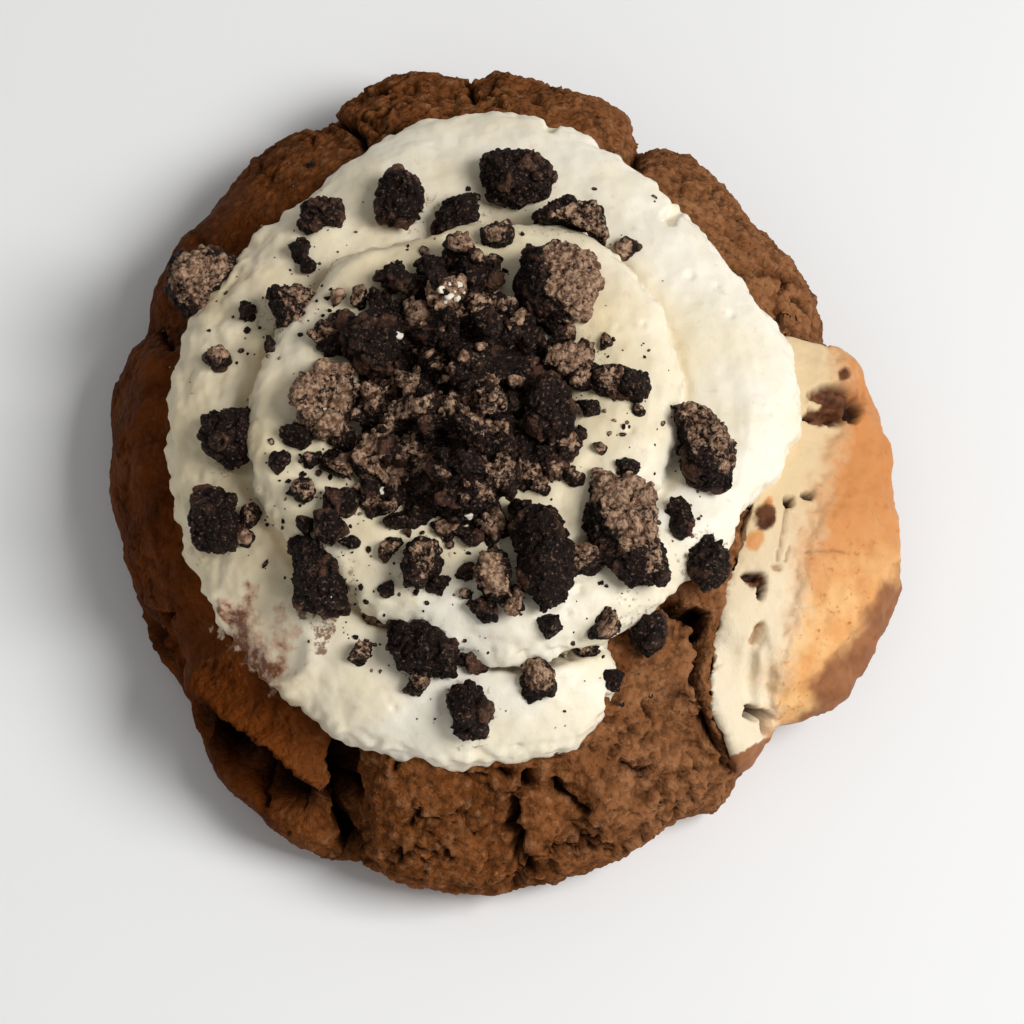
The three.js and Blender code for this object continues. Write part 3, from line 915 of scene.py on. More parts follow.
@dataclass(frozen=True)
class BiscuitFinish:
    """Dark chocolate biscuit, dusty and paler where it broke, with painted highlights on raised grains and
    painted glints.
    """

    dark: Mottle = Mottle(paint(34, 19, 13), paint(14, 7, 4), 1100.0)
    dust: Mottle = Mottle(paint(190, 156, 128), paint(104, 73, 54), 1500.0)
    # Painted highlight on raised grains.
    edge: Colour = paint(98, 66, 50)
    glint: Colour = paint(140, 110, 90)

    def material(self, effects: Effects) -> bpy.types.Material:
        """Builds the material.

        Args:
            effects: shared groups.

        Returns:
            The material, which reads the masks dust and raised.
        """
        material, graph, shader = new_material("biscuit")
        amount = graph.mask("dust")
        # Painted highlight on raised grains.
        worn = graph.ramp(graph.mask("raised"), low=0.3, high=1.0, top=0.8)
        coat = effects.specks(graph, scale=1700.0, amount=amount)
        glint = effects.specks(graph, scale=2300.0, amount=0.42)
        body = graph.mix(worn, effects.mottled(graph, self.dark), self.edge)
        body = graph.mix(graph.scaled(glint, 0.7), body, self.glint)
        covered = graph.math("MULTIPLY", coat, graph.ramp(amount, low=0.0, high=0.35))
        body = graph.mix(covered, body, effects.mottled(graph, self.dust))
        graph.feed(shader.inputs["Base Color"], body)
        graph.feed(shader.inputs["Roughness"], graph.ramp(coat, low=0.0, high=1.0, bottom=0.6, top=0.9))
        graph.bump(shader, effects.grains(graph, scale=1900.0), strength=0.9, distance=0.4)
        shader.inputs["Specular IOR Level"].default_value = 0.16
        return material


@dataclass(frozen=True)
class Crack:
    """Split in a surface along a line of the photograph's pixels."""

    line: tuple[Pixel, ...]
    width: float
    depth: float
    bed: float = 0.35
    raggedness: float = 0.45

    def opening(self, pixels: np.ndarray, jag: np.ndarray) -> np.ndarray:
        """How far the crack is open at each place.

        Args:
            pixels: places on the photograph.
            jag: noise that makes its edges ragged.

        Returns:
            1 along the line, 0 away from it.
        """
        distance, _ = line_distance(pixels, self.line)
        ragged = distance * (1.0 + self.raggedness * jag)
        return smoothstep(ragged, self.width, self.bed * self.width)


@dataclass(frozen=True)
class Spot:
    """Oval place on the photograph with a ragged edge, sunk to a depth or raised where that is below 0."""

    at: Pixel
    reach: Pixel
    depth: float = 0.0
    rim: Range = (1.05, 0.7)
    raggedness: float = 0.35

    def cover(self, pixels: np.ndarray, jag: np.ndarray) -> np.ndarray:
        """How far each place is inside the spot.

        Args:
            pixels: places on the photograph.
            jag: noise that makes its edge ragged.

        Returns:
            1 in the middle, 0 outside.
        """
        distance = np.linalg.norm((pixels - self.at) / self.reach, axis=1)
        return smoothstep(distance + self.raggedness * jag, *self.rim)


@dataclass(frozen=True)
class Smear:
    """Torn edge where the cream is rubbed thin over the dough, along a line with the dough to its right."""

    line: tuple[Pixel, ...] = ((216, 590), (226, 614), (246, 640), (264, 664), (282, 686))
    middle: Spot = Spot((262, 640), (50, 54))
    width: float = 62.0
    rubbed: Range = (24.8, -6.2)
    fray: float = 28.0

    def on_cream(self, pixels: np.ndarray, torn: np.ndarray) -> np.ndarray:
        """How thin the cream is at each place.

        Args:
            pixels: places on the photograph.
            torn: noise that frays the edge.

        Returns:
            1 where the cream is worn through, 0 where it is whole.
        """
        distance, side = line_distance(pixels, self.line)
        worn = smoothstep(self.fray * torn - side * distance, self.width, 0.0)
        return worn * self.middle.cover(pixels, torn)

    def on_dough(self, pixels: np.ndarray, torn: np.ndarray) -> np.ndarray:
        """How much cream is rubbed over the dough at each place.

        Args:
            pixels: places on the photograph.
            torn: noise that frays the edge.

        Returns:
            1 where the dough is covered, 0 where it is bare.
        """
        distance, side = line_distance(pixels, self.line)
        rubbed = smoothstep(side * distance + self.fray * torn, *self.rubbed)
        return rubbed * self.middle.cover(pixels, torn)


SMEAR = Smear()


@dataclass(frozen=True)
class Ledge:
    """Edge of a crust that stands over a dark gap, along a line with the crust to its left."""

    line: tuple[Pixel, ...]
    lip: float
    lip_width: float
    gap: float
    gap_width: float
    run_in: float

    def heights(self, pixels: np.ndarray) -> tuple[np.ndarray, np.ndarray]:
        """Rise of the lip and fall of the gap at each place.

        Args:
            pixels: places on the photograph.

        Returns:
            The rise and the fall, both in millimetres.
        """
        distance, side = line_distance(pixels, self.line)
        from_start = np.linalg.norm(pixels - self.line[0], axis=1)
        grown = smoothstep(from_start, 0.0, self.run_in)
        rise = self.lip * np.where(side < 0, np.exp(-((distance / self.lip_width) ** 2)), 0.0)
        fall = self.gap * np.where(side > 0, np.exp(-((distance / self.gap_width) ** 2)), 0.0)
        return rise * grown, fall * grown


@dataclass(frozen=True)
class Splits:
    """Ragged splits between patches of crust, open in some places only.

    The size is the distance from patch to patch, and the width, the bend, the bend's size and the size of
    the places are shares of it.  The bed is a share of the width, and the shade is how dark the splits are.
    """

    size: float
    width: float
    depth: float
    shade: float
    bed: float = 0.15
    bend: float = 0.35
    bend_size: float = 0.5
    place_size: float = 1.6
    place_grade: Range = (-0.1, 0.3)

    def opening(self, points: np.ndarray, noise: Noise) -> np.ndarray:
        """How far the splits are open at each point.

        Args:
            points: places in millimetres.
            noise: pattern.

        Returns:
            1 along the splits, 0 away from them.
        """
        ragged = points + self.bend * self.size * noise.sway(points, self.bend_size * self.size, 3)
        nearest, second, _ = noise.cells(ragged, self.size)
        places = noise.smooth(points + self.size, self.place_size * self.size)
        split = smoothstep(second - nearest, self.width, self.bed * self.width)
        return split * smoothstep(places, *self.place_grade)


@dataclass
class ChocolateDough:
    """Thick cracked dough of chocolate cookie."""

    node: str = "chocolate_dough"
    voxel: float = 0.505
    smoothing: int = 6
    seed: int = 5

    # Relief of the crust
    foot: Range = (0.4, 3.0)
    lumps: Relief = Relief(0.3, 7.0, 2)
    clods: Relief = Relief(0.25, 2.4, 2)
    jags: Relief = Relief(1.0, 2.0, 2)
    smear_fray: Relief = Relief(1.0, 1.6, 3)
    wander: float = 3.2
    wander_size: float = 1.7
    grain: float = 0.62
    grain_size: float = 1.05
    grain_step: float = 0.3

    # Where the colours change
    # Raised crumb is painted with a highlight.
    raised_crumb: Range = (0.06, 0.4)
    sunk_crumb: Range = (-0.1, -0.4)
    sunk_shade: float = 0.45
    pit_shade: float = 0.7
    gap_shade: Range = (0.6, 3.6)
    fudge_back: Range = (108.0, 150.0)
    fudge_front: Range = (252.0, 236.0)
    fudge_clouds: Relief = Relief(0.15, 9.0)
    fudge_smoothness: float = 0.6
    # Painted light on the right side of the dough.
    lit_right_grade: Range = (-2.0, 24.0)
    lit_right_clouds: Relief = Relief(4.0, 12.0)

    # Splits all over, and what follows the photograph
    splits: tuple[Splits, ...] = (Splits(9.0, 0.06, 0.9, 0.8), Splits(4.2, 0.11, 0.75, 0.65))
    cracks: tuple[Crack, ...] = (
        Crack(((347, 733), (341, 765), (344, 800)), 16, 8.0),
        Crack(((344, 798), (346, 838), (355, 868)), 8, 4.5),
        Crack(((466, 758), (466, 770)), 4.5, 2.4),
        Crack(((459, 777), (485, 774)), 2.4, 1.0),
        Crack(((499, 770), (506, 779)), 4.5, 2.2),
        Crack(((526, 774), (534, 788)), 6, 2.8),
        Crack(((556, 779), (566, 794), (578, 806), (589, 814)), 3.6, 2.2),
        Crack(((511, 803), (514, 815), (507, 826), (518, 833), (519, 852)), 6.5, 3.4),
        Crack(((526, 860), (532, 868), (518, 886)), 6, 2.6),
        Crack(((394, 771), (398, 761)), 2.4, 1.2),
        Crack(((414, 824), (418, 810)), 2.4, 1.0),
        Crack(((397, 850), (399, 862)), 3.6, 1.6),
        Crack(((417, 850), (423, 853)), 3, 1.3),
        Crack(((447, 852), (452, 860)), 3, 1.4),
        Crack(((545, 851), (574, 846)), 2.4, 1.0),
        Crack(((585, 838), (593, 850)), 3, 1.2),
        Crack(((620, 760), (640, 772), (655, 768)), 2.4, 0.9),
        Crack(((640, 700), (652, 720), (648, 740)), 2.4, 0.9),
        Crack(((668, 606), (688, 612), (702, 620)), 10, 4.5),
        Crack(((698, 640), (704, 652)), 7, 3.6),
        Crack(((698, 680), (702, 692)), 6, 2.8),
        Crack(((703, 720), (710, 735), (718, 748)), 7, 3.4),
        Crack(((697, 766), (700, 768)), 3, 1.2),
        Crack(((705, 624), (701, 640)), 5, 1.6),
        Crack(((699, 662), (699, 676)), 5, 1.4),
        Crack(((702, 702), (707, 714)), 4, 1.2),
        Crack(((722, 752), (728, 766)), 5, 1.6),
        Crack(((790, 342), (800, 356)), 9, 4.0),
        Crack(((778, 272), (792, 282)), 3, 1.2),
        Crack(((795, 300), (806, 310)), 3, 1.2),
        Crack(((640, 148), (634, 166), (622, 170)), 5, 2.2),
        Crack(((470, 82), (474, 102)), 4, 1.8),
        Crack(((330, 118), (352, 128), (368, 150)), 5, 2.2),
        Crack(((160, 330), (172, 346)), 4, 1.6),
        Crack(((253, 756), (257, 780), (262, 803)), 5, 2.6),
    )
    ledge_jag: float = 3.0
    ledge_line: tuple[Pixel, ...] = (
        (150, 600), (166, 634), (184, 666), (214, 706), (250, 730), (280, 754), (306, 778),
    )
    pits: tuple[Spot, ...] = (
        Spot((170, 615), (6, 5), 1.2),
        Spot((168, 633), (5, 6), 1.2),
    )

    def build(self, node: bpy.types.Object, finish: bpy.types.Material) -> bpy.types.Object:
        """Makes the dough from its solid and sculpts its crust.

        Args:
            node: the solid's object.
            finish: material of the dough.

        Returns:
            The finished piece.
        """
        piece = merged_copy(node, "dough_crust")
        even_mesh(piece, self.voxel, self.smoothing)
        form = Sculpture(piece)
        self._sculpt(form)
        finish_piece(piece, [self.node], finish)
        return piece

    def _fudge(self, points: np.ndarray, noise: Noise) -> np.ndarray:
        """Share of smooth fudgy crust at each point: the left and the back."""
        angle = np.degrees(np.arctan2(points[:, 1], points[:, 0])) % FULL_TURN
        left = smoothstep(angle, *self.fudge_back) * smoothstep(angle, *self.fudge_front)
        return np.clip(left + self.fudge_clouds.at(points, noise), 0.0, 1.0)

    def _crumb(self, points: np.ndarray, noise: Noise) -> np.ndarray:
        """Height of the crumb at each point: rounded grains at different heights, in clods."""
        grain, _, lift = noise.cells(points, self.grain_size)
        grains = self.grain * (0.5 - grain) + self.grain_step * (lift - 0.5)
        return grains + self.clods.at(points, noise)

    @property
    def ledge(self) -> Ledge:
        """Ledge of crust at the lower left, with the gap below it."""
        return Ledge(self.ledge_line, lip=1.8, lip_width=16.0, gap=7.5, gap_width=29.0, run_in=70.0)

    def _sculpt(self, form: Sculpture) -> None:
        """Raises lumps and crumb and opens cracks.

        Args:
            form: the dough's points.
        """
        noise = Noise(self.seed)
        points, normals = form.points.copy(), form.normals()
        fudge = self._fudge(points, noise)
        crumbly = 1.0 - self.fudge_smoothness * fudge
        crumb = self._crumb(points, noise) * crumbly
        height = self.lumps.at(points, noise) + crumb
        # Painted shade in sunk crumb, splits, cracks, pits and the gap below the ledge.
        hollow_shade = self.sunk_shade * smoothstep(crumb, *self.sunk_crumb)
        for splits in self.splits:
            opening = splits.opening(points, noise) * crumbly
            height = height - splits.depth * opening
            hollow_shade = np.maximum(hollow_shade, splits.shade * opening)
        pixels, seen = CAMERA.pixels(points), form.seen(normals)
        smear = SMEAR.on_dough(pixels, self.smear_fray.at(points, noise)) * seen
        pixels = pixels + self.wander * noise.sway(points, self.wander_size, 2)
        jag = self.jags.at(points, noise)
        for crack in self.cracks:
            opening = crack.opening(pixels, jag) * seen
            height = height - crack.depth * opening
            hollow_shade = np.maximum(hollow_shade, opening)
        for pit in self.pits:
            cover = pit.cover(pixels, jag) * seen
            height = height - pit.depth * cover
            hollow_shade = np.maximum(hollow_shade, self.pit_shade * cover)
        rise, fall = self.ledge.heights(pixels + self.ledge_jag * jag[:, None])
        height = height + (rise - fall) * seen
        hollow_shade = np.maximum(hollow_shade, smoothstep(fall, *self.gap_shade) * seen)
        form.push(height * smoothstep(points[:, 2], *self.foot), normals)
        form.points[:, 2] = np.maximum(form.points[:, 2], 0.0)
        form.store()
        form.mask("fudge", fudge)
        # Painted light: paler towards the right.
        form.mask("lit_right", smoothstep(points[:, 0] + self.lit_right_clouds.at(points, noise), *self.lit_right_grade))
        form.mask("hollow_shade", hollow_shade)
        # Raised crumb, which the finish paints with a highlight.
        form.mask("raised", smoothstep(crumb, *self.raised_crumb))
        form.mask("smear", smear)


@dataclass
class PaleDough:
    """Pale dough baked into the right side."""

    node: str = "pale_dough"
    voxel: float = 0.36
    smoothing: int = 6
    seed: int = 17

    # Relief of the broken face and the skin
    jags: Relief = Relief(1.0, 2.6, 3)
    bulges: Relief = Relief(0.5, 6.5, 3)
    blisters: Relief = Relief(0.3, 2.2, 3)
    skin: float = 0.45
    skin_rise: Range = (0.35, 0.6)
    skin_jag: float = 9.0
    skin_fray: Relief = Relief(5.0, 0.9, 2)
    skin_grade: Range = (-22.0, 20.0)
    fold_jag: float = 0.5
    cocoa_jag: float = 0.8
    cocoa_crumb: Relief = Relief(0.9, 1.8, 2)
    seam_grade: Range = (0.2, 0.7)
    seam_cover: float = 0.4
    seam_waves: Relief = Relief(1.1, 4.0, 3)

    # Where the colours change
    # Painted shade along hairline cracks, carried by the brown mask.
    hairline_shade: float = 0.6
    brown_jag: float = 7.0
    brown_grade: Range = (-9.0, 9.0)
    foot_jag: float = 1.5
    foot: Range = (10.5, 8.5)
    upper_jag: float = 8.0
    upper_grade: Range = (640.0, 480.0)

    # What follows the photograph
    skin_edge: tuple[Pixel, ...] = (
        (838, 330), (838, 433), (819, 502), (806, 540), (800, 575), (790, 640), (772, 685), (776, 740),
    )
    brown_edge: tuple[Pixel, ...] = (
        (900, 566), (872, 598), (856, 630), (840, 650), (814, 672), (812, 702), (798, 720), (770, 735),
    )
    hairlines: tuple[Crack, ...] = (
        Crack(((786, 506), (783, 530), (777, 560)), 2.0, 0.3),
        Crack(((790, 547), (785, 562)), 2.4, 0.3),
        Crack(((774, 567), (779, 569)), 3.0, 0.8),
        Crack(((714, 668), (722, 666)), 2.0, 0.4),
        Crack(((762, 624), (757, 634), (753, 642)), 4.0, 1.2),
        Crack(((808, 552), (830, 551), (857, 555)), 1.6, 0.25),
    )
    folds: tuple[Crack, ...] = (
        Crack(((760, 630), (752, 650), (749, 680), (751, 704)), 9.0, 0.8),
        Crack(((763, 640), (769, 664), (770, 690)), 7.0, 0.4),
        Crack(((822, 500), (806, 540), (800, 575), (786, 610)), 9.0, 0.3),
    )
    holes: tuple[Spot, ...] = (
        Spot((789, 502), (6, 7), 2.2),
        Spot((808, 495), (8, 4), 1.8),
        Spot((752, 577), (10, 5), 1.4),
        Spot((762, 590), (5, 9), 2.0),
        Spot((752, 714), (10, 8), 4.0),
        Spot((764, 722), (7, 14), 4.0),
        Spot((852, 411), (7, 15), 1.4),
        Spot((808, 418), (8, 4), 0.8),
    )
    cocoa: tuple[Spot, ...] = (
        Spot((832, 404), (30, 20), 1.0),
        Spot((818, 416), (18, 10), 0.6),
        Spot((766, 516), (11, 14), -0.4),
        Spot((757, 581), (13, 9), 0.4),
        Spot((842, 376), (5, 7), 0.2),
    )
    streak: Spot = Spot((815, 404), (13, 6), -0.7)
    browned: tuple[Spot, ...] = (Spot((754, 541), (12, 11), 0.0), Spot((768, 503), (5, 6), 0.0))

    def build(self, node: bpy.types.Object, finish: bpy.types.Material) -> bpy.types.Object:
        """Makes the pale dough from its solid and sculpts its broken and baked faces.

        Args:
            node: the solid's object.
            finish: material of the pale dough.

        Returns:
            The finished piece.
        """
        piece = merged_copy(node, "pale_dough_side")
        even_mesh(piece, self.voxel, self.smoothing)
        self._sculpt(Sculpture(piece))
        finish_piece(piece, [self.node], finish)
        return piece

    def _sculpt(self, form: Sculpture) -> None:
        """Raises the toasted skin, opens holes and cracks and frays the seam.

        Args:
            form: the dough's points.
        """
        noise = Noise(self.seed)
        points, normals = form.points.copy(), form.normals()
        pixels, seen = CAMERA.pixels(points), form.seen(normals)
        jag = self.jags.at(points, noise)
        edge, side = line_distance(pixels, self.skin_edge)
        frayed = -side * edge + self.skin_jag * jag + self.skin_fray.at(points, noise)
        toast = smoothstep(frayed, *self.skin_grade)
        height = self.bulges.at(points, noise) + toast * self.blisters.at(points, noise)
        height = height + self.skin * smoothstep(toast, *self.skin_rise)
        hollow_shade, brown, patch = np.zeros((3, len(points)))
        for fold in self.folds:
            height = height - fold.depth * fold.opening(pixels, self.fold_jag * jag) * seen
        for hairline in self.hairlines:
            opening = hairline.opening(pixels, jag) * seen
            height = height - hairline.depth * opening
            # Painted shade along hairline cracks.
            brown = np.maximum(brown, self.hairline_shade * opening)
        for hole in self.holes:
            cover = hole.cover(pixels, jag) * seen
            height = height - hole.depth * cover
            # Painted shade in holes.
            hollow_shade = np.maximum(hollow_shade, cover)
        crumb = self.cocoa_crumb.at(points, noise)
        for spot in self.cocoa:
            cover = spot.cover(pixels, self.cocoa_jag * jag) * seen
            height = height - spot.depth * cover + cover * crumb
            patch = np.maximum(patch, cover)
        streak = self.streak.cover(pixels, jag) * seen
        form.push(height - self.streak.depth * streak, normals)
        for spot in self.browned:
            toast = np.maximum(toast, spot.cover(pixels, jag) * seen)
        rim, below = line_distance(pixels, self.brown_edge)
        brown = np.maximum(brown, smoothstep(-below * rim + self.brown_jag * jag, *self.brown_grade))
        brown = np.maximum(brown, smoothstep(points[:, 2] + self.foot_jag * jag, *self.foot))
        seam = smoothstep(-normals[:, 0], *self.seam_grade)
        form.points[:, 0] -= seam * (self.seam_cover + self.seam_waves.at(points, noise))
        form.store()
        form.mask("toast", toast)
        form.mask("brown", brown)
        form.mask("upper", smoothstep(pixels[:, 1] + self.upper_jag * jag, *self.upper_grade))
        form.mask("cocoa", patch * (1.0 - streak))
        form.mask("hollow_shade", hollow_shade * (1.0 - streak))


@dataclass(frozen=True)
class BeadKey:
    """Section of the cream's bead after some degrees of turn from its outer end."""

    turned: float
    edge: float
    half: float
    level: float
    droop: float


@dataclass
class CreamSwirl:
    """Two turns of piped cream, spread flat in places."""

    node: str = "cream_swirl"
    voxel: float = 0.38
    smoothing: int = 2
    centre: Plan = (-2.137, -0.852)
    stretch: float = 1.09
    start: float = -59.0
    half_height: float = 4.2
    squareness: float = 0.66
    end_turn: float = 14.0
    core_radius: float = 24.0
    core_crown: float = 0.6
    core_top: float = 30.5
    core_shoulder: float = 26.5
    core_foot: float = 20.0
    around: int = 64
    step: float = 2.0
    edge_step: float = 3.0
    sink: float = 0.3
    seed: int = 23

    # Relief of the whipped cream
    streaks: Relief = Relief(0.14, 1.9, 2)
    streak_length: float = 5.0
    swells: Relief = Relief(0.3, 6.5)
    fluff: Relief = Relief(0.5, 3.2, 3)
    fluff_least: float = 0.35
    fluff_grade: Range = (330.0, 220.0)
    bubble_size: float = 4.2
    bubble_depth: float = 0.4
    bubble_grade: Range = (0.16, 0.06)
    bubble_patches: Relief = Relief(1.0, 9.0)
    bubble_patch_grade: Range = (0.0, 0.3)
    edge_grade: Range = (0.85, 0.3)
    edge_waves: Relief = Relief(0.7, 5.0, 2)
    edge_fray: Relief = Relief(0.34, 1.2)
    jags: Relief = Relief(1.0, 2.0)
    lip: float = 0.35
    lip_inset: float = 1.6
    lip_width: float = 1.5
    groove: float = 1.3
    groove_width: float = 0.9
    groove_waves: Relief = Relief(0.4, 2.6)
    groove_fray: Relief = Relief(0.2, 1.2)
    crease_wander: float = 2.0
    crease_wander_size: float = 1.6
    thinning: float = 2.4
    thin_waves: Relief = Relief(0.4, 5.0)

    # Where the colours change
    crease_shade: float = 0.8
    crease_grade: Range = (0.7, 2.2)
    thin_fray: Relief = Relief(1.0, 2.6, 4)
    smudge: float = 0.45
    smudge_waves: Relief = Relief(1.5, 3.0)
    smudge_grade: Range = (5.5, 3.2)
    stain: float = 0.7
    # Painted yellowish shade on the left of the cream and round the heap.
    shade_tint_strength: float = 0.6
    shade_tint_clouds: Relief = Relief(0.2, 7.0)
    shade_tint_left: Range = (430.0, 230.0)
    shade_tint_middle: Pixel = (470, 390)
    shade_tint_reach: Range = (250.0, 140.0)

    # Lengths and sections of the bead, by the degrees turned, and what follows the photograph
    lengths: tuple[Range, ...] = ((0, 345), (325, 650), (630, 790))
    keys: tuple[BeadKey, ...] = (
        BeadKey(0, 37.0, 9.0, 22.6, 2.0),
        BeadKey(50, 38.4, 9.2, 22.6, 2.0),
        BeadKey(100, 37.2, 9.0, 22.6, 2.0),
        BeadKey(130, 37.8, 9.0, 22.6, 2.0),
        BeadKey(172, 35.6, 9.0, 22.8, 2.0),
        BeadKey(210, 39.2, 9.6, 22.4, 2.2),
        BeadKey(256, 35.8, 9.0, 22.8, 2.0),
        BeadKey(296, 38.0, 9.2, 23.0, 2.0),
        BeadKey(322, 32.8, 8.8, 24.8, 1.8),
        BeadKey(346, 29.6, 8.4, 27.2, 1.4),
        BeadKey(378, 28.8, 8.2, 28.8, 1.2),
        BeadKey(410, 26.0, 8.0, 29.0, 1.2),
        BeadKey(470, 28.2, 8.0, 29.2, 1.2),
        BeadKey(520, 24.4, 7.6, 29.2, 1.2),
        BeadKey(553, 21.0, 7.0, 29.2, 1.2),
        BeadKey(620, 24.0, 7.0, 29.2, 1.2),
        BeadKey(665, 23.4, 7.0, 29.2, 1.2),
        BeadKey(790, 14.0, 6.0, 28.4, 1.0),
    )
    crease_line: tuple[Pixel, ...] = (
        (352, 589), (373, 615), (401, 622), (432, 628), (460, 645),
        (486, 658), (514, 663), (551, 656), (594, 645),
    )
    stains: tuple[Spot, ...] = (
        Spot((324, 622), (18, 20)),
        Spot((320, 646), (9, 18)),
        Spot((302, 614), (9, 9)),
    )
    bites: tuple[Crack, ...] = (
        Crack(((548, 104), (552, 124)), 8, 2.0),
        Crack(((682, 204), (670, 216)), 9, 1.8),
        Crack(((744, 532), (756, 516)), 9, 1.6),
        Crack(((618, 716), (612, 700)), 8, 1.6),
    )

    @property
    def crease(self) -> Ledge:
        """Front edge of the second turn, which stands over a narrow gap."""
        return Ledge(self.crease_line, lip=0.8, lip_width=12.0, gap=3.0, gap_width=6.0, run_in=16.0)

    def build(self, ground: BVHTree, chunks: np.ndarray, finish: bpy.types.Material) -> bpy.types.Object:
        """Pipes the cream, lays it on the dough and roughens it.

        Args:
            ground: search tree of the dough under it.
            chunks: middles of the biscuit pieces in millimetres.
            finish: material of the cream.

        Returns:
            The finished piece.
        """
        shape = bmesh.new()
        for begin, end in self.lengths:
            self._bead(shape, begin, end)
        self._core(shape)
        piece = new_piece(shape, "cream_turns")
        even_mesh(piece, self.voxel, self.smoothing)
        form = Sculpture(piece)
        self._sculpt(form, chunks)
        self._settle(form, ground)
        finish_piece(piece, [self.node], finish)
        return piece

    def _section(self, turned: float) -> BeadKey:
        """Section of the bead after some degrees of turn, blended from the keys."""
        turns = [key.turned for key in self.keys]
        after = min(max(int(np.searchsorted(turns, turned)), 1), len(self.keys) - 1)
        low, high = self.keys[after - 1], self.keys[after]
        share = float(smoothstep(np.array(turned), low.turned, high.turned))
        return BeadKey(*(a + (b - a) * share for a, b in zip(astuple(low), astuple(high))))

    def _bead(self, shape: bmesh.types.BMesh, begin: float, end: float) -> None:
        """Adds one length of the bead: a ball drawn out along the swirl.

        Args:
            shape: bmesh to add to, in metres.
            begin: degrees turned at its first end.
            end: degrees turned at its last end.
        """
        rows = round((end - begin) / self.step)
        ball = bmesh.ops.create_uvsphere(shape, u_segments=self.around, v_segments=rows, radius=1.0)
        for vert in ball["verts"]:
            share = math.acos(max(-1.0, min(1.0, vert.co.z))) / math.pi
            turned = begin + (end - begin) * share
            around = math.atan2(vert.co.y, vert.co.x)
            from_end = min(1.0, min(turned - begin, end - turned) / self.end_turn)
            blunt = math.sqrt(max(0.0, 1.0 - (1.0 - from_end) ** 2))
            bead = self._section(turned)
            flat, tall = math.cos(around), math.sin(around)
            across = blunt * bead.half * math.copysign(abs(flat) ** self.squareness, flat)
            rise = blunt * self.half_height * math.copysign(abs(tall) ** self.squareness, tall)
            drop = bead.droop * max(across / bead.half, 0.0) ** 2
            angle = math.radians(self.start - turned)
            radius = bead.edge - bead.half + across
            x = self.centre[0] + radius * math.cos(angle)
            y = self.centre[1] + radius * self.stretch * math.sin(angle)
            vert.co = Vector((x, y, bead.level + rise - drop)) * MM
        faces = list({face for vert in ball["verts"] for face in vert.link_faces})
        bmesh.ops.recalc_face_normals(shape, faces=faces)

    def _core(self, shape: bmesh.types.BMesh) -> None:
        """Adds the cream in the middle, under the second turn."""
        tiers = (
            (self.core_foot, self.core_shoulder, 1.0),
            (self.core_shoulder, self.core_top, self.core_crown),
        )
        for low, high, top in tiers:
            cone = bmesh.ops.create_cone(
                shape,
                cap_ends=True,
                segments=self.around,
                radius1=self.core_radius * MM,
                radius2=top * self.core_radius * MM,
                depth=(high - low) * MM,
            )
            middle = Vector((*self.centre, (low + high) / 2)) * MM
            bmesh.ops.translate(shape, verts=cone["verts"], vec=middle)

    def _sculpt(self, form: Sculpture, chunks: np.ndarray) -> None:
        """Adds piping streaks, dimples, ragged edges, torn places and the thin smear.

        Args:
            form: the cream's points.
            chunks: middles of the biscuit pieces in millimetres.
        """
        noise = Noise(self.seed)
        points, normals = form.points.copy(), form.normals()
        pixels, seen = CAMERA.pixels(points), form.seen(normals)
        facing = np.clip(normals[:, 2], 0.0, 1.0)
        jag = self.jags.at(points, noise)
        height = self._whipped(points, pixels, facing, noise)
        for bite in self.bites:
            height = height - bite.depth * bite.opening(pixels, jag) * seen
        wander = self.crease_wander * noise.sway(points, self.crease_wander_size, 2)
        rise, fall = self.crease.heights(pixels + wander)
        form.push(height + (rise - fall) * seen, normals)
        thinned = SMEAR.on_cream(pixels, self.thin_waves.at(points, noise)) * seen
        form.points[:, 2] -= self.thinning * thinned
        gaps = np.linalg.norm(points[:, None, :2] - chunks[None, :, :2], axis=2).min(axis=1)
        smudge = self.smudge * smoothstep(gaps + self.smudge_waves.at(points, noise), *self.smudge_grade)
        for stain in self.stains:
            smudge = np.maximum(smudge, self.stain * stain.cover(pixels, jag) * seen)
        # Painted yellowish shade on the left of the cream and round the heap.
        from_heap = np.linalg.norm(pixels - self.shade_tint_middle, axis=1)
        shaded = smoothstep(pixels[:, 0], *self.shade_tint_left)
        shaded = np.maximum(shaded, smoothstep(from_heap, *self.shade_tint_reach))
        form.mask("shade_tint", self.shade_tint_strength * shaded + self.shade_tint_clouds.at(points, noise))
        form.mask("thin", SMEAR.on_cream(pixels, self.thin_fray.at(points, noise)) * seen)
        # Painted shade in the crease under the second turn's lip.
        form.mask("crease", self.crease_shade * smoothstep(fall, *self.crease_grade) * seen)
        form.mask("smudge", smudge)

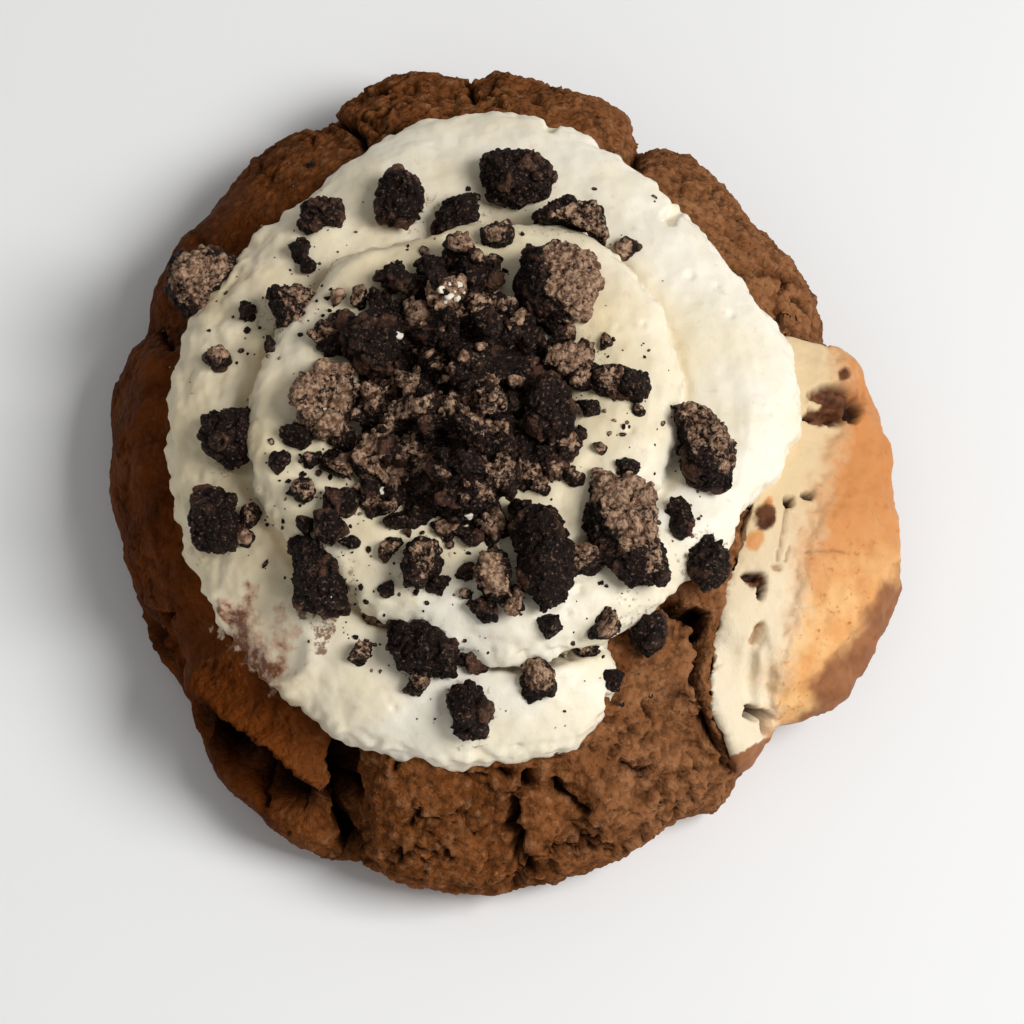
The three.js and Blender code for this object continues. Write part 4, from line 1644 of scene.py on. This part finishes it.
    def _whipped(
        self, points: np.ndarray, pixels: np.ndarray, facing: np.ndarray, noise: Noise
    ) -> np.ndarray:
        """Height of the streaks, dimples, bubbles and ragged edges, and of the step between the turns.

        Args:
            points: places in millimetres.
            pixels: the same places on the photograph.
            facing: how far each place faces up, from 0 to 1.
            noise: pattern.

        Returns:
            The height at each point in millimetres.
        """
        flat = (points[:, :2] - self.centre) / (1.0, self.stretch)
        radius = np.linalg.norm(flat, axis=1)
        angle = np.arctan2(flat[:, 1], flat[:, 0])
        along = np.stack((radius, angle * self.streak_length, points[:, 2]), axis=1)
        height = self.streaks.at(along, noise) * facing + self.swells.at(points, noise)
        rough = self.fluff_least + (1.0 - self.fluff_least) * smoothstep(pixels[:, 0], *self.fluff_grade)
        height = height + rough * self.fluff.at(points, noise)
        dimple, *_ = noise.cells(points, self.bubble_size)
        bubble = smoothstep(dimple, *self.bubble_grade)
        bubble = bubble * smoothstep(self.bubble_patches.at(points, noise), *self.bubble_patch_grade)
        edge = smoothstep(facing, *self.edge_grade)
        ragged = self.edge_waves.at(points, noise) + self.edge_fray.at(points, noise)
        height = height - self.bubble_depth * bubble + edge * ragged
        past = radius - self._inner_edge(angle)
        past = past - self.groove_waves.at(points, noise) - self.groove_fray.at(points, noise)
        lip = self.lip * np.exp(-(((past + self.lip_inset) / self.lip_width) ** 2))
        groove = self.groove * np.where(past > 0, np.exp(-((past / self.groove_width) ** 2)), 0.0)
        return height + (lip - groove) * facing

    def _inner_edge(self, angle: np.ndarray) -> np.ndarray:
        """Outer edge of the second turn at each angle, in millimetres from the swirl's middle."""
        turned = FULL_TURN + (self.start - np.degrees(angle)) % FULL_TURN
        steps = np.arange(FULL_TURN, 2 * FULL_TURN + self.edge_step, self.edge_step)
        edges = np.array([self._section(step).edge for step in steps])
        return np.interp(turned, steps, edges)

    def _settle(self, form: Sculpture, ground: BVHTree) -> None:
        """Lays the cream's underside on what is below it.

        Args:
            form: the cream's points.
            ground: search tree of the dough, in metres.
        """
        for index, (x, y, z) in enumerate(form.points):
            place = dropped(ground, x, y)
            if place is not None and z < place.z / MM - self.sink:
                form.points[index, 2] = place.z / MM - self.sink
        form.store()


class Tone(Enum):
    """How much dust the faces of a biscuit piece carry."""

    DARK = (0.0, 0.15)
    PART = (0.0, 0.8)
    DUSTY = (0.15, 1.0)
    POWDERED = (0.8, 1.05)


@dataclass(frozen=True)
class Breakage:
    """Crags, grains and dust on broken faces of biscuit."""

    crag_size: float = 2.4
    crag_step: float = 0.85
    crag_bend: float = 0.9
    crag_bend_size: float = 1.5
    gap: float = 0.5
    gap_grade: Range = (0.18, 0.02)
    lumps: Relief = Relief(0.6, 4.0, 2)
    grain_size: float = 0.65
    grain_step: float = 0.34
    grain: float = 0.24
    raised_grade: Range = (-0.4, 0.8)
    dust_waves: Relief = Relief(0.6, 2.6)
    dust_grade: Range = (0.05, 0.75)
    dust_level: float = 0.95
    dust_clouds: Relief = Relief(0.3, 1.8, 3)
    # Less dust in the pits is painted shade, and more on raised grains is a painted highlight.
    dust_in_shaded_pits: float = 0.85
    dust_on_lit_grains: float = 0.3

    def height(self, points: np.ndarray, noise: Noise, share: float) -> np.ndarray:
        """Height of the crags and grains.

        Args:
            points: places on the piece in millimetres.
            noise: pattern.
            share: size of the crags against the full one.

        Returns:
            The height at each point in millimetres.
        """
        bent = points + self.crag_bend * noise.sway(points, self.crag_bend_size, 3)
        clump, beside, lift = noise.cells(bent, self.crag_size)
        grain, _, step = noise.cells(points, self.grain_size)
        gap = self.gap * smoothstep(beside - clump, *self.gap_grade)
        crag = self.crag_step * (lift - 0.5) - gap + self.lumps.at(points, noise)
        return share * crag + self.grain_step * (step - 0.5) + self.grain * (0.5 - grain)

    def raised(self, height: np.ndarray) -> np.ndarray:
        """How far each point stands out of the pits, from 0 to 1."""
        return smoothstep(height, *self.raised_grade)

    def dust(
        self,
        points: np.ndarray,
        normals: np.ndarray,
        noise: Noise,
        tone: Tone,
        lean: np.ndarray | float = 0.0,
    ) -> np.ndarray:
        """Dust at each point, more on the top of a piece.

        Args:
            points: places in millimetres.
            normals: outward directions.
            noise: pattern.
            tone: how dusty the piece is.
            lean: how far each point lies towards the dusty side, from -1 to 1.

        Returns:
            Values from 0 to about 1.
        """
        low, high = tone.value
        top = smoothstep(normals[:, 2] + self.dust_waves.at(points, noise) + lean, *self.dust_grade)
        return (low + (high - low) * top) * (self.dust_level + self.dust_clouds.at(points, noise))

    def worn(self, dust: np.ndarray, raised: np.ndarray) -> np.ndarray:
        """Dust with less of it in the pits, a painted shade, and more on what stands out of them, a painted
        highlight.
        """
        return dust * (self.dust_in_shaded_pits + self.dust_on_lit_grains * raised)


BREAKAGE = Breakage()


@dataclass(frozen=True)
class Break:
    """Looks of a larger piece: how dusty it is, and towards which side of its plan."""

    tone: Tone
    towards: Plan = (0.0, 0.0)


@dataclass
class BiscuitPieces:
    """Larger broken biscuit pieces, one for each of their solids."""

    prefix: str = "biscuit_piece_"
    voxel: float = 0.23
    smoothing: int = 1
    seed: int = 100
    swell: float = 0.3
    crags: float = 0.8
    breaks: tuple[Break, ...] = (
        Break(Tone.DUSTY),
        Break(Tone.PART, (1.0, -0.3)),
        Break(Tone.DARK),
        Break(Tone.DARK),
        Break(Tone.DARK),
        Break(Tone.PART, (1.2, -0.8)),
        Break(Tone.DUSTY, (1.6, 0.2)),
        Break(Tone.DUSTY),
        Break(Tone.POWDERED),
        Break(Tone.DARK),
        Break(Tone.DARK),
        Break(Tone.DARK),
        Break(Tone.DARK),
        Break(Tone.DARK),
        Break(Tone.DARK),
        Break(Tone.DUSTY, (0.5, 1.0)),
        Break(Tone.DARK),
        Break(Tone.DARK),
        Break(Tone.PART, (0.5, 0.9)),
        Break(Tone.DARK),
        Break(Tone.DUSTY),
        Break(Tone.PART),
        Break(Tone.DARK),
    )

    def middles(self) -> np.ndarray:
        """Middle of each solid in millimetres."""
        count = len(self.breaks)
        return np.array([sum(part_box(self.name(index)), Vector()) / 2 / MM for index in range(count)])

    def name(self, index: int) -> str:
        """Node name of a piece, counted from 0."""
        return f"{self.prefix}{index + 1:02d}"

    def build(
        self, nodes: dict[str, bpy.types.Object], finish: bpy.types.Material
    ) -> list[bpy.types.Object]:
        """Makes every piece from its solid.

        Args:
            nodes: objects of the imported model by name.
            finish: biscuit material.

        Returns:
            The pieces in order.
        """
        return [self._piece(nodes, index, finish) for index in range(len(self.breaks))]

    def _piece(
        self, nodes: dict[str, bpy.types.Object], index: int, finish: bpy.types.Material
    ) -> bpy.types.Object:
        """Makes one piece.

        Args:
            nodes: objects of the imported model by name.
            index: which piece, counted from 0.
            finish: biscuit material.

        Returns:
            The piece.
        """
        node = self.name(index)
        piece = merged_copy(nodes[node], f"broken_biscuit_{index + 1:02d}")
        even_mesh(piece, self.voxel, self.smoothing)
        form = Sculpture(piece)
        noise = Noise(self.seed + index)
        points, normals = form.points.copy(), form.normals()
        height = BREAKAGE.height(points, noise, self.crags)
        form.push(self.swell + height, normals)
        form.store()
        look = self.breaks[index]
        middle, half = points.mean(axis=0), np.ptp(points, axis=0) / 2
        lean = ((points - middle) / half)[:, :2] @ look.towards
        raised = BREAKAGE.raised(height)
        form.mask("raised", raised)
        form.mask("dust", BREAKAGE.worn(BREAKAGE.dust(points, normals, noise, look.tone, lean), raised))
        finish_piece(piece, [node], finish)
        return piece


@dataclass(frozen=True)
class Crumb:
    """Small broken crumb at a pixel of the photograph, with its width in millimetres."""

    at: Pixel
    size: float
    tone: Tone


class CrumbMesh:
    """Many crumbs gathered in one mesh."""

    BREAKS = 8
    BREAK_DEPTHS = (0.4, 0.85)
    FLATNESS = 0.9
    PROPORTIONS = (0.75, 1.3)
    PATTERN_REACH = 100.0
    CRAGS = 0.8
    FULL_SIZE = 6.0

    def __init__(self, seed: int) -> None:
        """Starts an empty mesh.

        Args:
            seed: number that fixes the crumbs' shapes.
        """
        self.shape = bmesh.new()
        self.shape.verts.layers.float.new("dust")
        self.shape.verts.layers.float.new("raised")
        self.draw = np.random.default_rng(seed)
        self.noise = Noise(seed)

    def add(self, place: Vector, size: float, tone: Tone, divisions: int) -> None:
        """Adds a crumb with a few flat breaks.

        Args:
            place: its middle, in metres.
            size: its width in millimetres.
            tone: how dusty it is.
            divisions: fineness of its faces.
        """
        ball = bmesh.ops.create_icosphere(self.shape, subdivisions=divisions, radius=1.0)["verts"]
        points = np.array([vert.co for vert in ball])
        for way in self.draw.normal(size=(self.BREAKS, 3)):
            way = way / np.linalg.norm(way)
            over = np.maximum(points @ way - self.draw.uniform(*self.BREAK_DEPTHS), 0.0)
            points = points - self.FLATNESS * over[:, None] * way
        points = points * self.draw.uniform(*self.PROPORTIONS, 3) * size / 2
        turn = np.array(Euler(self.draw.uniform(0.0, 2 * math.pi, 3)).to_matrix())
        points = points @ turn.T
        ways = points / np.linalg.norm(points, axis=1)[:, None]
        offset = self.draw.uniform(0.0, self.PATTERN_REACH, 3)
        height = BREAKAGE.height(points + offset, self.noise, self.CRAGS)
        raised = BREAKAGE.raised(height)
        points = points + ways * (min(1.0, size / self.FULL_SIZE) * height)[:, None]
        cover = BREAKAGE.worn(BREAKAGE.dust(points + offset, ways, self.noise, tone), raised)
        layers = self.shape.verts.layers.float
        for vert, point, dust, out in zip(ball, points, cover, raised):
            vert.co = Vector(point * MM) + place
            vert[layers["dust"]] = float(np.clip(dust, 0.0, 1.0))
            vert[layers["raised"]] = float(out)

    def piece(self, name: str) -> bpy.types.Object:
        """Object of all the crumbs added so far."""
        return new_piece(self.shape, name)


@dataclass
class CrumbHeap:
    """Heap of biscuit crumbs in the middle of the cream."""

    node: str = "crumb_heap"
    voxel: float = 0.3
    smoothing: int = 1
    block_seed: int = 43
    crag_seed: int = 41
    crumb_seed: int = 45
    drop_seed: int = 47
    crags: float = 0.65
    dust_clouds: Relief = Relief(0.25, 4.0)
    block_reach: float = 0.62
    block_divisions: int = 3
    crumb_divisions: tuple[int, int] = (2, 4)
    centre: Plan = (-5.737, -0.952)
    radius: float = 15.2
    stretch: float = 1.26
    loose: int = 190
    sizes: Range = (0.8, 4.4)
    coarse: float = 2.0
    stand: float = 0.12
    blocks: tuple[Crumb, ...] = (
        Crumb((404, 310), 5.0, Tone.DARK),
        Crumb((401, 282), 4.0, Tone.DARK),
        Crumb((378, 299), 2.8, Tone.DARK),
        Crumb((471, 273), 4.6, Tone.DARK),
        Crumb((447, 297), 5.2, Tone.POWDERED),
        Crumb((492, 314), 6.0, Tone.PART),
        Crumb((497, 336), 5.0, Tone.DARK),
        Crumb((449, 332), 4.4, Tone.DARK),
        Crumb((464, 366), 5.2, Tone.DARK),
        Crumb((488, 371), 5.0, Tone.DARK),
        Crumb((488, 399), 5.0, Tone.PART),
        Crumb((440, 369), 2.8, Tone.DUSTY),
        Crumb((404, 382), 3.4, Tone.DUSTY),
        Crumb((378, 399), 5.4, Tone.DUSTY),
        Crumb((412, 414), 5.0, Tone.PART),
        Crumb((436, 395), 4.2, Tone.DARK),
        Crumb((475, 436), 6.0, Tone.PART),
        Crumb((505, 429), 4.4, Tone.PART),
        Crumb((375, 447), 4.6, Tone.DUSTY),
        Crumb((371, 468), 5.0, Tone.DUSTY),
        Crumb((414, 458), 4.8, Tone.DUSTY),
        Crumb((466, 470), 7.4, Tone.DARK),
        Crumb((462, 500), 7.4, Tone.DARK),
        Crumb((501, 484), 6.2, Tone.PART),
        Crumb((531, 479), 4.2, Tone.PART),
        Crumb((423, 513), 4.4, Tone.DARK),
        Crumb((450, 345), 4.0, Tone.DARK),
        Crumb((425, 335), 4.0, Tone.PART),
        Crumb((520, 320), 4.6, Tone.DARK),
        Crumb((430, 430), 4.2, Tone.DARK),
        Crumb((455, 410), 4.0, Tone.PART),
        Crumb((500, 455), 4.2, Tone.DARK),
    )

    def build(
        self, cream: bpy.types.Object, node: bpy.types.Object, finish: bpy.types.Material
    ) -> list[bpy.types.Object]:
        """Makes the mound with the larger crumbs fused on, and the loose ones over it.

        Args:
            cream: what the heap lies on.
            node: the solid's object.
            finish: biscuit material.

        Returns:
            The mound and the crumbs.
        """
        mound = self._mound(search_tree(cream, node), node)
        finish_piece(mound, [self.node], finish)
        crumbs = CrumbMesh(self.crumb_seed)
        self._scatter(crumbs, search_tree(cream, mound))
        top = crumbs.piece("heap_crumbs")
        finish_piece(top, [self.node], finish)
        return [mound, top]

    def _mound(self, ground: BVHTree, node: bpy.types.Object) -> bpy.types.Object:
        """Clumped crumbs in one mesh.

        Args:
            ground: search tree of the cream and the solid.
            node: the solid's object.

        Returns:
            The mound.
        """
        clumps = CrumbMesh(self.block_seed)
        clumps.shape.from_mesh(node.data)
        bmesh.ops.remove_doubles(clumps.shape, verts=clumps.shape.verts, dist=MERGE_DISTANCE)
        middles = []
        for block in self.blocks:
            place = pictured(ground, block.at)
            stood = place + upward(self.stand * block.size)
            clumps.add(stood, block.size, block.tone, self.block_divisions)
            middles.append(np.array(place) / MM)
        mound = clumps.piece("heap_mound")
        even_mesh(mound, self.voxel, self.smoothing)
        form = Sculpture(mound)
        noise = Noise(self.crag_seed)
        points, normals = form.points.copy(), form.normals()
        height = BREAKAGE.height(points, noise, self.crags)
        form.push(height, normals)
        form.store()
        raised = BREAKAGE.raised(height)
        form.mask("raised", raised)
        form.mask("dust", BREAKAGE.worn(self._dust(points, normals, noise, np.array(middles)), raised))
        return mound

    def _dust(
        self, points: np.ndarray, normals: np.ndarray, noise: Noise, middles: np.ndarray
    ) -> np.ndarray:
        """Dust over the mound: that of the larger crumb which each point belongs to, or little.

        Args:
            points: places in millimetres.
            normals: outward directions.
            noise: pattern.
            middles: places of the larger crumbs in millimetres.

        Returns:
            Values from 0 to 1.
        """
        dust = BREAKAGE.dust(points, normals, noise, Tone.DARK) + self.dust_clouds.at(points, noise)
        for block, middle in zip(self.blocks, middles):
            inside = np.linalg.norm(points - middle, axis=1) < self.block_reach * block.size
            dust[inside] = BREAKAGE.dust(points[inside], normals[inside], noise, block.tone)
        return dust

    def _scatter(self, crumbs: CrumbMesh, ground: BVHTree) -> None:
        """Drops the loose crumbs over the heap, more of them dark than dusty.

        Args:
            crumbs: mesh to add to.
            ground: search tree of the cream and the mound.
        """
        draw = np.random.default_rng(self.drop_seed)
        tones = (Tone.DARK, Tone.DARK, Tone.DARK, Tone.PART, Tone.DUSTY, Tone.DUSTY)
        for _ in range(self.loose):
            reach = self.radius * math.sqrt(draw.random())
            angle = draw.uniform(0.0, 2 * math.pi)
            x = self.centre[0] + reach * math.cos(angle)
            y = self.centre[1] + reach * self.stretch * math.sin(angle)
            size = self.sizes[0] + (self.sizes[1] - self.sizes[0]) * draw.random() ** 2
            tone = tones[draw.integers(len(tones))]
            divisions = self.crumb_divisions[size > self.coarse]
            place = dropped(ground, x, y)
            crumbs.add(place + upward(self.stand * size), size, tone, divisions)


@dataclass
class ScatteredCrumbs:
    """Crumbs and specks lying on the cream round the heap."""

    node: str = "cream_swirl"
    crumb_seed: int = 53
    speck_seed: int = 59
    drop_seed: int = 61
    specks: int = 520
    speck_least: float = 0.25
    speck_spread: float = 0.9
    speck_reach: float = 26.0
    speck_divisions: int = 1
    crumb_divisions: tuple[int, int] = (4, 5)
    large: float = 4.2
    stand: float = 0.18
    crumbs: tuple[Crumb, ...] = (
        Crumb((322, 214), 4.4, Tone.DARK),
        Crumb((310, 228), 3.6, Tone.DARK),
        Crumb((298, 254), 3.6, Tone.DARK),
        Crumb((306, 264), 3.0, Tone.DARK),
        Crumb((245, 315), 4.2, Tone.DARK),
        Crumb((218, 360), 3.6, Tone.DUSTY),
        Crumb((270, 346), 2.6, Tone.DARK),
        Crumb((322, 338), 4.6, Tone.PART),
        Crumb((337, 300), 2.4, Tone.DUSTY),
        Crumb((442, 232), 3.0, Tone.DARK),
        Crumb((498, 236), 4.2, Tone.PART),
        Crumb((590, 378), 4.8, Tone.PART),
        Crumb((612, 384), 4.4, Tone.PART),
        Crumb((633, 388), 4.2, Tone.DARK),
        Crumb((588, 410), 2.8, Tone.DARK),
        Crumb((640, 411), 2.0, Tone.PART),
        Crumb((582, 433), 1.6, Tone.DARK),
        Crumb((600, 450), 2.0, Tone.DUSTY),
        Crumb((547, 460), 4.6, Tone.DARK),
        Crumb((575, 479), 2.8, Tone.DUSTY),
        Crumb((627, 468), 3.0, Tone.DARK),
        Crumb((678, 510), 3.8, Tone.DARK),
        Crumb((682, 524), 3.4, Tone.DARK),
        Crumb((581, 561), 4.6, Tone.PART),
        Crumb((552, 628), 3.8, Tone.DARK),
        Crumb((605, 628), 4.6, Tone.DUSTY),
        Crumb((587, 652), 3.4, Tone.PART),
        Crumb((612, 683), 3.4, Tone.DARK),
        Crumb((534, 684), 4.8, Tone.DUSTY),
        Crumb((417, 688), 4.4, Tone.DUSTY),
        Crumb((471, 662), 4.2, Tone.DARK),
        Crumb((361, 654), 3.8, Tone.PART),
        Crumb((373, 624), 3.2, Tone.DUSTY),
        Crumb((388, 589), 2.0, Tone.DARK),
        Crumb((440, 585), 4.6, Tone.DARK),
        Crumb((391, 550), 3.2, Tone.DUSTY),
        Crumb((466, 574), 2.2, Tone.DARK),
        Crumb((466, 596), 2.0, Tone.DUSTY),
        Crumb((484, 614), 5.0, Tone.DARK),
        Crumb((510, 604), 4.4, Tone.DUSTY),
        Crumb((330, 530), 4.8, Tone.DARK),
        Crumb((350, 543), 2.4, Tone.DARK),
        Crumb((304, 526), 3.0, Tone.DARK),
        Crumb((310, 460), 3.0, Tone.DUSTY),
        Crumb((339, 468), 5.2, Tone.DUSTY),
        Crumb((302, 492), 3.4, Tone.PART),
        Crumb((336, 501), 4.2, Tone.DARK),
        Crumb((371, 490), 3.4, Tone.DARK),
        Crumb((395, 490), 3.2, Tone.DUSTY),
        Crumb((380, 507), 2.2, Tone.DUSTY),
        Crumb((399, 524), 3.4, Tone.DARK),
        Crumb((469, 537), 3.0, Tone.DARK),
        Crumb((494, 531), 2.8, Tone.DARK),
        Crumb((538, 488), 3.0, Tone.PART),
        Crumb((250, 520), 2.8, Tone.PART),
        Crumb((248, 538), 2.6, Tone.DUSTY),
        Crumb((282, 462), 3.4, Tone.DARK),
        Crumb((300, 440), 4.0, Tone.DARK),
        Crumb((605, 343), 2.0, Tone.DUSTY),
        Crumb((628, 250), 3.0, Tone.DUSTY),
    )

    def build(self, ground: BVHTree, finish: bpy.types.Material) -> list[bpy.types.Object]:
        """Lays the crumbs and specks on the cream.

        Args:
            ground: search tree of the cream and the dough.
            finish: biscuit material.

        Returns:
            The crumbs and the specks.
        """
        crumbs = CrumbMesh(self.crumb_seed)
        for crumb in self.crumbs:
            stood = pictured(ground, crumb.at) + upward(self.stand * crumb.size)
            divisions = self.crumb_divisions[crumb.size >= self.large]
            crumbs.add(stood, crumb.size, crumb.tone, divisions)
        pieces = [crumbs.piece("cream_crumbs"), self._speck_mesh(ground)]
        for piece in pieces:
            finish_piece(piece, [self.node], finish)
        return pieces

    def _speck_mesh(self, ground: BVHTree) -> bpy.types.Object:
        """Fine specks gathered round the crumbs.

        Args:
            ground: search tree of the cream and the dough.

        Returns:
            The specks as one object.
        """
        specks = CrumbMesh(self.speck_seed)
        draw = np.random.default_rng(self.drop_seed)
        tones = (Tone.DARK, Tone.DARK, Tone.PART, Tone.DUSTY)
        for _ in range(self.specks):
            near = self.crumbs[draw.integers(len(self.crumbs))]
            place = pictured(ground, tuple(np.array(near.at) + draw.normal(0.0, self.speck_reach, 2)))
            size = self.speck_least + self.speck_spread * draw.random() ** 3
            if place is not None:
                specks.add(place, size, tones[draw.integers(len(tones))], self.speck_divisions)
        return specks.piece("cream_specks")


@dataclass
class CreamFlecks:
    """Flecks of cream that stick to the biscuit, each at a pixel of the photograph."""

    node: str = "cream_swirl"
    seed: int = 67
    sink: float = 0.2
    divisions: int = 3
    flecks: tuple[tuple[Pixel, float], ...] = (
        ((442, 289), 1.3),
        ((447, 284), 1.0),
        ((454, 289), 1.3),
        ((459, 285), 0.9),
        ((449, 296), 1.1),
        ((457, 298), 1.0),
        ((445, 301), 0.8),
        ((464, 292), 0.8),
        ((546, 334), 1.3),
        ((399, 334), 1.0),
        ((468, 515), 1.2),
        ((382, 491), 1.2),
        ((331, 598), 0.9),
        ((326, 409), 1.0),
    )

    def build(self, ground: BVHTree, finish: bpy.types.Material) -> bpy.types.Object:
        """Dabs the flecks on.

        Args:
            ground: search tree of the heap and the larger pieces.
            finish: cream material.

        Returns:
            The flecks as one object.
        """
        flecks = CrumbMesh(self.seed)
        for pixel, size in self.flecks:
            place = pictured(ground, pixel)
            if place is not None:
                flecks.add(place - upward(self.sink * size), size, Tone.DARK, self.divisions)
        piece = flecks.piece("cream_flecks")
        finish_piece(piece, [self.node], finish)
        return piece


@dataclass(frozen=True)
class Lamp:
    """Soft square light: its place and the width of its face in metres, and its power in watts."""

    name: str
    place: tuple[float, float, float]
    width: float
    power: float

    def add(self) -> None:
        """Puts the light in the scene, facing the object."""
        data = bpy.data.lights.new(self.name, "AREA")
        data.energy = self.power
        data.size = self.width
        light = bpy.data.objects.new(self.name, data)
        bpy.context.scene.collection.objects.link(light)
        light.location = self.place
        light.rotation_euler = (-Vector(self.place)).to_track_quat("-Z", "Y").to_euler()


@dataclass
class Studio:
    """Floor, lights and camera."""

    lamps: tuple[Lamp, ...] = (
        Lamp("key", (0.55, -0.12, 0.69), 0.42, 7.1),
        Lamp("fill", (-0.2, -0.7, 0.55), 0.7, 0.7),
    )
    floor: Colour = paint(243, 243, 242)
    floor_size: float = 3.0
    floor_roughness: float = 0.8
    sky: Colour = (1.0, 1.0, 1.0, 1.0)
    sky_strength: float = 0.25

    def build(self) -> None:
        """Adds everything round the object."""
        self._floor()
        for lamp in self.lamps:
            lamp.add()
        world = bpy.data.worlds.new("studio")
        world.use_nodes = True
        background = world.node_tree.nodes["Background"]
        background.inputs["Color"].default_value = self.sky
        background.inputs["Strength"].default_value = self.sky_strength
        bpy.context.scene.world = world
        bpy.context.scene.view_settings.view_transform = "Standard"
        CAMERA.add()

    def _floor(self) -> None:
        """Pale floor under the object."""
        shape = bmesh.new()
        bmesh.ops.create_grid(shape, x_segments=2, y_segments=2, size=self.floor_size / 2)
        floor = new_piece(shape, "floor")
        material, _, shader = new_material("floor")
        shader.inputs["Base Color"].default_value = self.floor
        shader.inputs["Roughness"].default_value = self.floor_roughness
        floor.data.materials.append(material)


@dataclass
class Cookie:
    """The whole cookie."""

    dough: ChocolateDough = field(default_factory=ChocolateDough)
    pale: PaleDough = field(default_factory=PaleDough)
    cream: CreamSwirl = field(default_factory=CreamSwirl)
    chunks: BiscuitPieces = field(default_factory=BiscuitPieces)
    heap: CrumbHeap = field(default_factory=CrumbHeap)
    scattered: ScatteredCrumbs = field(default_factory=ScatteredCrumbs)
    flecks: CreamFlecks = field(default_factory=CreamFlecks)

    def build(self, nodes: dict[str, bpy.types.Object]) -> None:
        """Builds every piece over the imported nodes.

        Args:
            nodes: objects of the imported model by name.
        """
        effects = Effects()
        biscuit = BiscuitFinish().material(effects)
        dough = self.dough.build(nodes[self.dough.node], DoughFinish().material(effects))
        pale = self.pale.build(nodes[self.pale.node], PaleFinish().material(effects))
        ground = search_tree(dough, pale)
        finish = CreamFinish().material(effects)
        cream = self.cream.build(ground, self.chunks.middles(), finish)
        chunks = self.chunks.build(nodes, biscuit)
        heap = self.heap.build(cream, nodes[self.heap.node], biscuit)
        self.scattered.build(search_tree(dough, pale, cream), biscuit)
        self.flecks.build(search_tree(*chunks, *heap), finish)


def main() -> None:
    """Loads the frame, builds the cookie and its studio and logs each piece's triangle count."""
    logging.basicConfig(level=logging.INFO, format="%(message)s")
    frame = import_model()
    Studio().build()
    Cookie().build(frame["nodes"])


if __name__ == "__main__":
    main()
